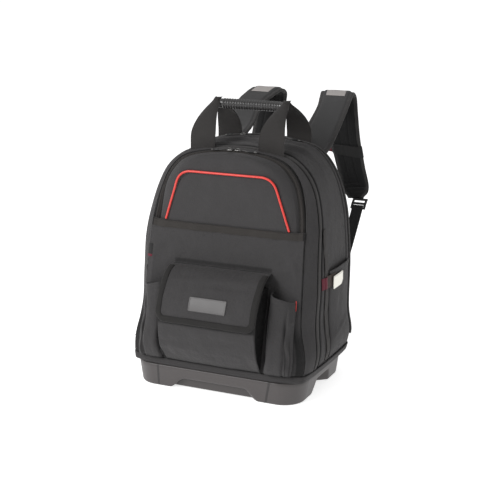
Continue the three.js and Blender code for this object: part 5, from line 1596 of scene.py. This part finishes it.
# %% Strap guides
# inner edge, outer edge: from the middle, behind the back, above the rim
STRAP = [
    ((58, 18.3, 392), (112, 18.3, 372)), ((61, 34, 424), (117, 32, 392)), ((61, 76, 446), (120, 70, 412)),
    ((63, 130, 480), (129, 128, 474)), ((54, 167, 495), (124, 170, 495)), ((46, 198, 503), (118, 203, 503)),
    ((45, 215, 494), (117, 221, 492)), ((52, 218, 456), (121, 223, 450)), ((62, 214, 402), (129, 218, 399)),
    ((74, 218, 349), (139, 225, 339)), ((89, 214, 304), (149, 224, 298)), ((106, 192, 276), (154, 198, 276)),
]
edges = [curve_through([(x, REAR_FACE + y, RIM_HEIGHT + z) for x, y, z in (row[k] for row in STRAP)], 300)
         for k in (0, 1)]
STRAP_THICK = 12.0


def strap_frame(t):
    inner, outer = along(edges[0], t), along(edges[1], t)
    ahead = (along(edges[0], min(t + 0.01, 1)) + along(edges[1], min(t + 0.01, 1))
             - along(edges[0], max(t - 0.01, 0)) - along(edges[1], max(t - 0.01, 0))).normalized()
    across = (outer - inner).normalized()
    return (inner + outer) / 2, across, across.cross(ahead).normalized(), (outer - inner).length / 2


def strap_surface(side, t, a, lift, beside=0.0):
    middle, across, outwards, half = strap_frame(t)
    half *= 1 - 0.3 * smooth(t, 0.93, 1.0) ** 2
    p = middle + across * (a * half + math.copysign(beside, a) * (abs(a) > 0.5)) + outwards * lift
    return Vector((side * p.x, p.y, p.z))


def pad_rise(a, t):
    """Half the strap's thickness at a place across it."""
    end = smooth(t, 0.0, 0.03) * smooth(1 - t, 0.0, 0.03)
    return 1.6 + (STRAP_THICK / 2 - 1.6) * (1 - smooth(abs(a), 0.68, 0.93)) * (0.35 + 0.65 * end)


def cover_place(side):
    def place(u, v):
        a = spread(u)
        crease = 0.7 * noise.noise(Vector((a * 1.6, side * 3.1, v * 16))) * (1 - a**4)
        return strap_surface(side, v, a, pad_rise(a, v) + crease)
    return place


def lining_place(side):
    def place(u, v):
        a = spread(u)
        quilt = 1.7 * (hump(a, 0.3, 0.05) + hump(a, -0.3, 0.05)) * smooth(1 - v, 0.03, 0.1)
        bunch = (1.3 * hump(v, 0.47, 0.06) * math.sin(v * 210 + 2 * a)
                 + 1.8 * hump(v, 0.93, 0.03) * math.sin(v * 190 + 3 * a))
        return strap_surface(side, v, a, -pad_rise(a, v) + quilt + bunch * (1 - a**2))
    return place


EDGE_SECTION = [(9.0, 2.2), (8.6, 3.0), (5.0, 3.0), (1.0, 2.6), (-0.6, 1.4), (-0.9, 0.0), (-0.6, -1.4),
                (1.0, -2.6), (5.0, -3.0), (8.6, -3.0), (9.0, -2.2)]


def edge_place(side, which):
    def place(u, v):
        inset, lift = row_at(EDGE_SECTION, u)
        half = strap_frame(v)[3]
        ripple = 0.25 * math.sin(v * 120) * (abs(lift) > 2)
        return strap_surface(side, v, which * (1 - inset / half), lift + ripple)
    return place


strap_cloth = fabric("strap cloth", (0.042, 0.0415, 0.042), pitch=0.001)
strap_tape = fabric("strap binding", (0.036, 0.0345, 0.034), pitch=0.0008, ribs=(1, 0.0017),
                    stitches=[(0, 0.0025), (0, 0.0215)])
for label, side in (("right", 1), ("left", -1)):
    lining = lay(f"shoulder_strap_{label}", lining_place(side), 60, 300, (75, 620), flip=side > 0)
    wall(lining, 1.2, soft_edge=False)
    done(lining, [f"shoulder_strap_{label}"], mesh_cloth, angle=80)
    face = lay(f"strap_face_{label}", cover_place(side), 60, 300, (75, 620), flip=side < 0)
    wall(face, 1.2, soft_edge=False)
    done(face, [f"shoulder_strap_{label}"], strap_cloth, angle=80)
    for name, which in (("inner", -1), ("outer", 1)):
        bound = lay(f"strap_edge_{name}_{label}", edge_place(side, which), 30, 300, (24, 620),
                    flip=side * which > 0)
        wall(bound, 0.4, soft_edge=False)
        done(bound, [f"shoulder_strap_{label}"], strap_tape, angle=80)

# %% [markdown]
# A band of elastic goes round each strap and holds spare webbing; a crimson tab is sewn to its
# inner end. Near the top of the strap sits a small bare patch.

# %% Bands, tabs and patches
BAND_AT, PATCH_LOW, PATCH_HIGH = 0.765, 11 / 30, 13 / 30
BAND_WIDTH, TAB_WIDTH, TAB_LENGTH = 22, 21, 11
speed = (along(edges[0], BAND_AT + 0.03) - along(edges[0], BAND_AT - 0.03)).length / 0.06


def band_loop_place(side):
    def place(u, v):
        t = BAND_AT + (v - 0.5) * BAND_WIDTH / speed
        angle = 2 * math.pi * u
        c, s = math.cos(angle), math.sin(angle)
        a = math.copysign(abs(c) ** 0.35, c)
        lift = math.copysign(abs(s) ** 0.5, s) * (pad_rise(a * 0.9, t) + 1.6)
        bulge = 0.5 * math.sin(math.pi * v)
        return strap_surface(side, t, a, lift * (1 + bulge / 12), 1.6)
    return place


for label, side in (("right", 1), ("left", -1)):
    ring = lay(f"strap_band_{label}", band_loop_place(side), 120, 14, (165, BAND_WIDTH))
    wall(ring, 1.0)
    weld(ring)
    done(ring, [f"strap_band_{label}"],
         fabric(f"elastic band {label}", (0.0125, 0.0122, 0.0122), ribs=(0, 0.0018)))

    def tab_point(u, v, side=side):
        t = BAND_AT + (v - 0.5) * TAB_WIDTH / speed
        return strap_surface(side, t, -1.0, 1.1 * math.sin(math.pi * u), 2.0 + TAB_LENGTH * u)

    strap_tab = lay(f"strap_tab_{label}", tab_point, 16, 20, (12, 21))
    wall(strap_tab, 1.0)
    weld(strap_tab)
    done(strap_tab, [f"strap_tab_{label}"], crimson)

    def patch_place(u, v, side=side):
        t = mix(PATCH_LOW, PATCH_HIGH, v)
        a = (2 * u - 1) * 0.6
        border = min(u, 1 - u) * 45, min(v, 1 - v) * 26
        return strap_surface(side, t, a, pad_rise(a, t) + 0.5 + 0.8 * smooth(min(border), 0, 0.8))

    strap_patch = lay(f"strap_patch_{label}", patch_place, 50, 30, (44, 26), flip=side < 0)
    wall(strap_patch, 0.8, soft_edge=False)
    weld(strap_patch)
    done(strap_patch, [f"strap_patch_{label}"], pale_patch)

# %% [markdown]
# Below the strap a ladder buckle joins it to a long webbing that is sewn into the bag's foot. The
# buckle is a moulded frame with three bars; the webbing loops round the lowest one.

# %% Buckles and webbing
BUCKLE_WIDTH, BUCKLE_LENGTH, BUCKLE_THICK, BUCKLE_BAR = 34.0, 26.0, 5.0, 5.0
WEB_END = Vector((132, REAR_FACE + 2.4, height_at(0.085)))
WEB_SLACK, STRAP_WEB_WIDTH = Vector((0, 12, 20)), 25
for label, side in (("right", 1), ("left", -1)):
    strap_end = along(edges[0], 1.0).lerp(along(edges[1], 1.0), 0.75)
    down = (WEB_END + WEB_SLACK - strap_end).normalized()
    across, seat = Vector((1, 0, 0)), strap_end + down * 1.5
    thick = across.cross(down).normalized()

    def buckle_point(x, y, z, side=side, seat=seat, down=down, thick=thick):
        p = seat + Vector((1, 0, 0)) * x + down * y + thick * z
        return metres((side * p.x, p.y, p.z))

    deselect()
    bpy.ops.mesh.primitive_grid_add(x_subdivisions=3, y_subdivisions=5, size=1)
    buckle = bpy.context.object
    buckle.name = buckle.data.name = f"strap_buckle_{label}_finished"
    xs = [-BUCKLE_WIDTH / 2, -BUCKLE_WIDTH / 2 + BUCKLE_BAR, BUCKLE_WIDTH / 2 - BUCKLE_BAR, BUCKLE_WIDTH / 2]
    ys = [0, BUCKLE_BAR, BUCKLE_LENGTH / 2 - BUCKLE_BAR / 2, BUCKLE_LENGTH / 2 + BUCKLE_BAR / 2,
          BUCKLE_LENGTH - BUCKLE_BAR, BUCKLE_LENGTH]
    bpy.ops.object.mode_set(mode="EDIT")
    bpy.ops.mesh.select_mode(type="FACE")
    bpy.ops.mesh.select_all(action="DESELECT")
    bpy.ops.object.mode_set(mode="OBJECT")
    for face in buckle.data.polygons:
        column, row = int((face.center.x + 0.5) * 3), int((face.center.y + 0.5) * 5)
        face.select = column == 1 and row in (1, 3)
    places = {}
    for vertex in buckle.data.vertices:
        column, row = round((vertex.co.x + 0.5) * 3), round((vertex.co.y + 0.5) * 5)
        bow = 1.6 * (1 - (2 * ys[row] / BUCKLE_LENGTH - 1) ** 2)
        places[vertex.index] = buckle_point(xs[column], ys[row], -bow)
    for index, place in places.items():
        buckle.data.vertices[index].co = place
    bpy.ops.object.mode_set(mode="EDIT")
    bpy.ops.mesh.delete(type="FACE")
    bpy.ops.object.mode_set(mode="OBJECT")
    modify(buckle, "SOLIDIFY", thickness=BUCKLE_THICK * 0.8 / 1000, offset=0)
    modify(buckle, "BEVEL", width=0.0012, segments=4, limit_method="ANGLE", angle_limit=math.radians(40))
    weld(buckle)
    done(buckle, [f"strap_buckle_{label}"], black_plastic, angle=40)

    start = seat + down * (BUCKLE_LENGTH + 0.4)
    halfway = start.lerp(WEB_END, 0.5) + Vector((0, 4, 0))
    bar = seat + down * (BUCKLE_LENGTH - BUCKLE_BAR / 2)
    route = curve_through([bar - down * 5 - thick * 0.5, bar - down * 3.4 - thick * 4.4,
                           start - thick * 2.6, start + down * 26, halfway,
                           WEB_END + WEB_SLACK, WEB_END], 200)

    def webbing_point(u, v, route=route, side=side):
        p = along(route, v)
        return Vector((side * p.x + (u - 0.5) * STRAP_WEB_WIDTH, p.y, p.z))

    strap_webbing = lay(f"strap_webbing_{label}", webbing_point, 14, 160, (STRAP_WEB_WIDTH, 330))
    wall(strap_webbing, 1.6)
    done(strap_webbing, [f"strap_webbing_{label}"],
         fabric(f"strap webbing {label}", (0.018, 0.0175, 0.0175), pitch=0.0012, ribs=(0, 0.0022), bump=0.6))

# %% [markdown]
# ## Zip sliders and pulls
# A slider is a small cast body with a bridge over it. Its pull is a moulded rod, thicker towards
# its end. Two sit on the front zip, near the middle, and two on the rear one, further apart.

# %% Sliders and pulls
roof_trees = [BVHTree.FromObject(piece, bpy.context.evaluated_depsgraph_get())
              for piece in (zip_band, gusset, cover, shell, panel)]


def roof_z(x, y):
    """The height of the highest cloth at a place, in millimetres."""
    start = metres((x, y, 620))
    hits = [tree.ray_cast(start, Vector((0, 0, -1)), 0.4)[0] for tree in roof_trees]
    return max(hit.z * 1000 for hit in hits if hit)


def pull_radius(v):
    return 1.0 + 0.9 * smooth(v, 0.45, 0.52) - 0.3 * smooth(v, 0.9, 1)


front_y = (along(PANEL_SEAM, 0.5).y + along(ZIP_SEAM, 0.5).y) / 2
ZIPS = [("front", 9.0, front_y), ("rear", 44.0, REAR_SEAM - 8)]
PULL_START, PULL_LENGTH = 6.2, 34
SLIDER_OUTLINE = [(-6.5, -2.0), (-3.2, -4.0), (6.5, -3.6), (6.5, 3.6), (-3.2, 4.0), (-6.5, 2.0)]
for name, x, y in ZIPS:
    for label, side in (("right", 1), ("left", -1)):
        z = max(roof_z(side * (x + a), y + b) for a in (-5, 0, 5) for b in (-3, 0, 3)) - 0.4
        deselect()
        bpy.ops.mesh.primitive_circle_add(vertices=6, radius=1, fill_type="NGON")
        slider = bpy.context.object
        slider.name = slider.data.name = f"{name}_slider_{label}_finished"
        for vertex, (a, b) in zip(slider.data.vertices, SLIDER_OUTLINE):
            vertex.co = metres((side * (x - a), y + b, z))
        bpy.ops.object.mode_set(mode="EDIT")
        bpy.ops.mesh.select_all(action="SELECT")
        bpy.ops.mesh.bevel(offset=0.0012, segments=4, affect="VERTICES")
        bpy.ops.mesh.select_all(action="SELECT")
        bpy.ops.mesh.extrude_region_move(TRANSFORM_OT_translate={"value": (0, 0, 0.0026)})
        bpy.ops.object.mode_set(mode="OBJECT")
        weld(slider)
        modify(slider, "BEVEL", width=0.0006, segments=3, limit_method="ANGLE", angle_limit=math.radians(50))

        def bridge_point(u, v, x=x, y=y, z=z, side=side):
            return Vector((side * x + 4.2 * math.cos(math.pi * v), y + 1.6 * math.cos(2 * math.pi * u),
                           z + 2.4 + 2.6 * math.sin(math.pi * v) + 0.7 * math.sin(2 * math.pi * u)))

        bridge = lay("bridge", bridge_point, 12, 20, (6, 12))
        weld(bridge)
        choose(slider)
        bridge.select_set(True)
        bpy.ops.object.join()
        done(slider, [f"{name}_slider_{label}"], slider_metal, angle=40)

        start = side * (x + PULL_START)
        route = []
        for t in (0, 0.25, 0.5, 0.75, 1):
            across, ahead = start + side * PULL_LENGTH * t, y - 4 * math.sin(math.pi * t)
            route.append((across, ahead, max(roof_z(across, ahead + b) for b in (-2, 0, 2)) + 2.3))
        line = curve_through(route, 40)
        pull = tube(f"{name}_pull_{label}", line, pull_radius, 14, 90, "plastic",
                    [f"{name}_pull_{label}"], pull_cord, up=Vector((0, 0, 1)), cap=0.03)
        pull.data.materials.append(pull_end)
        pull.data.materials.append(slider_metal)
        for face in pull.data.polygons:
            share = (side * (face.center.x - BASE_MIDDLE.x) * 1000 - (x + PULL_START)) / PULL_LENGTH
            face.material_index = 0 if share < 0.46 else 1 if share < 0.86 else 2
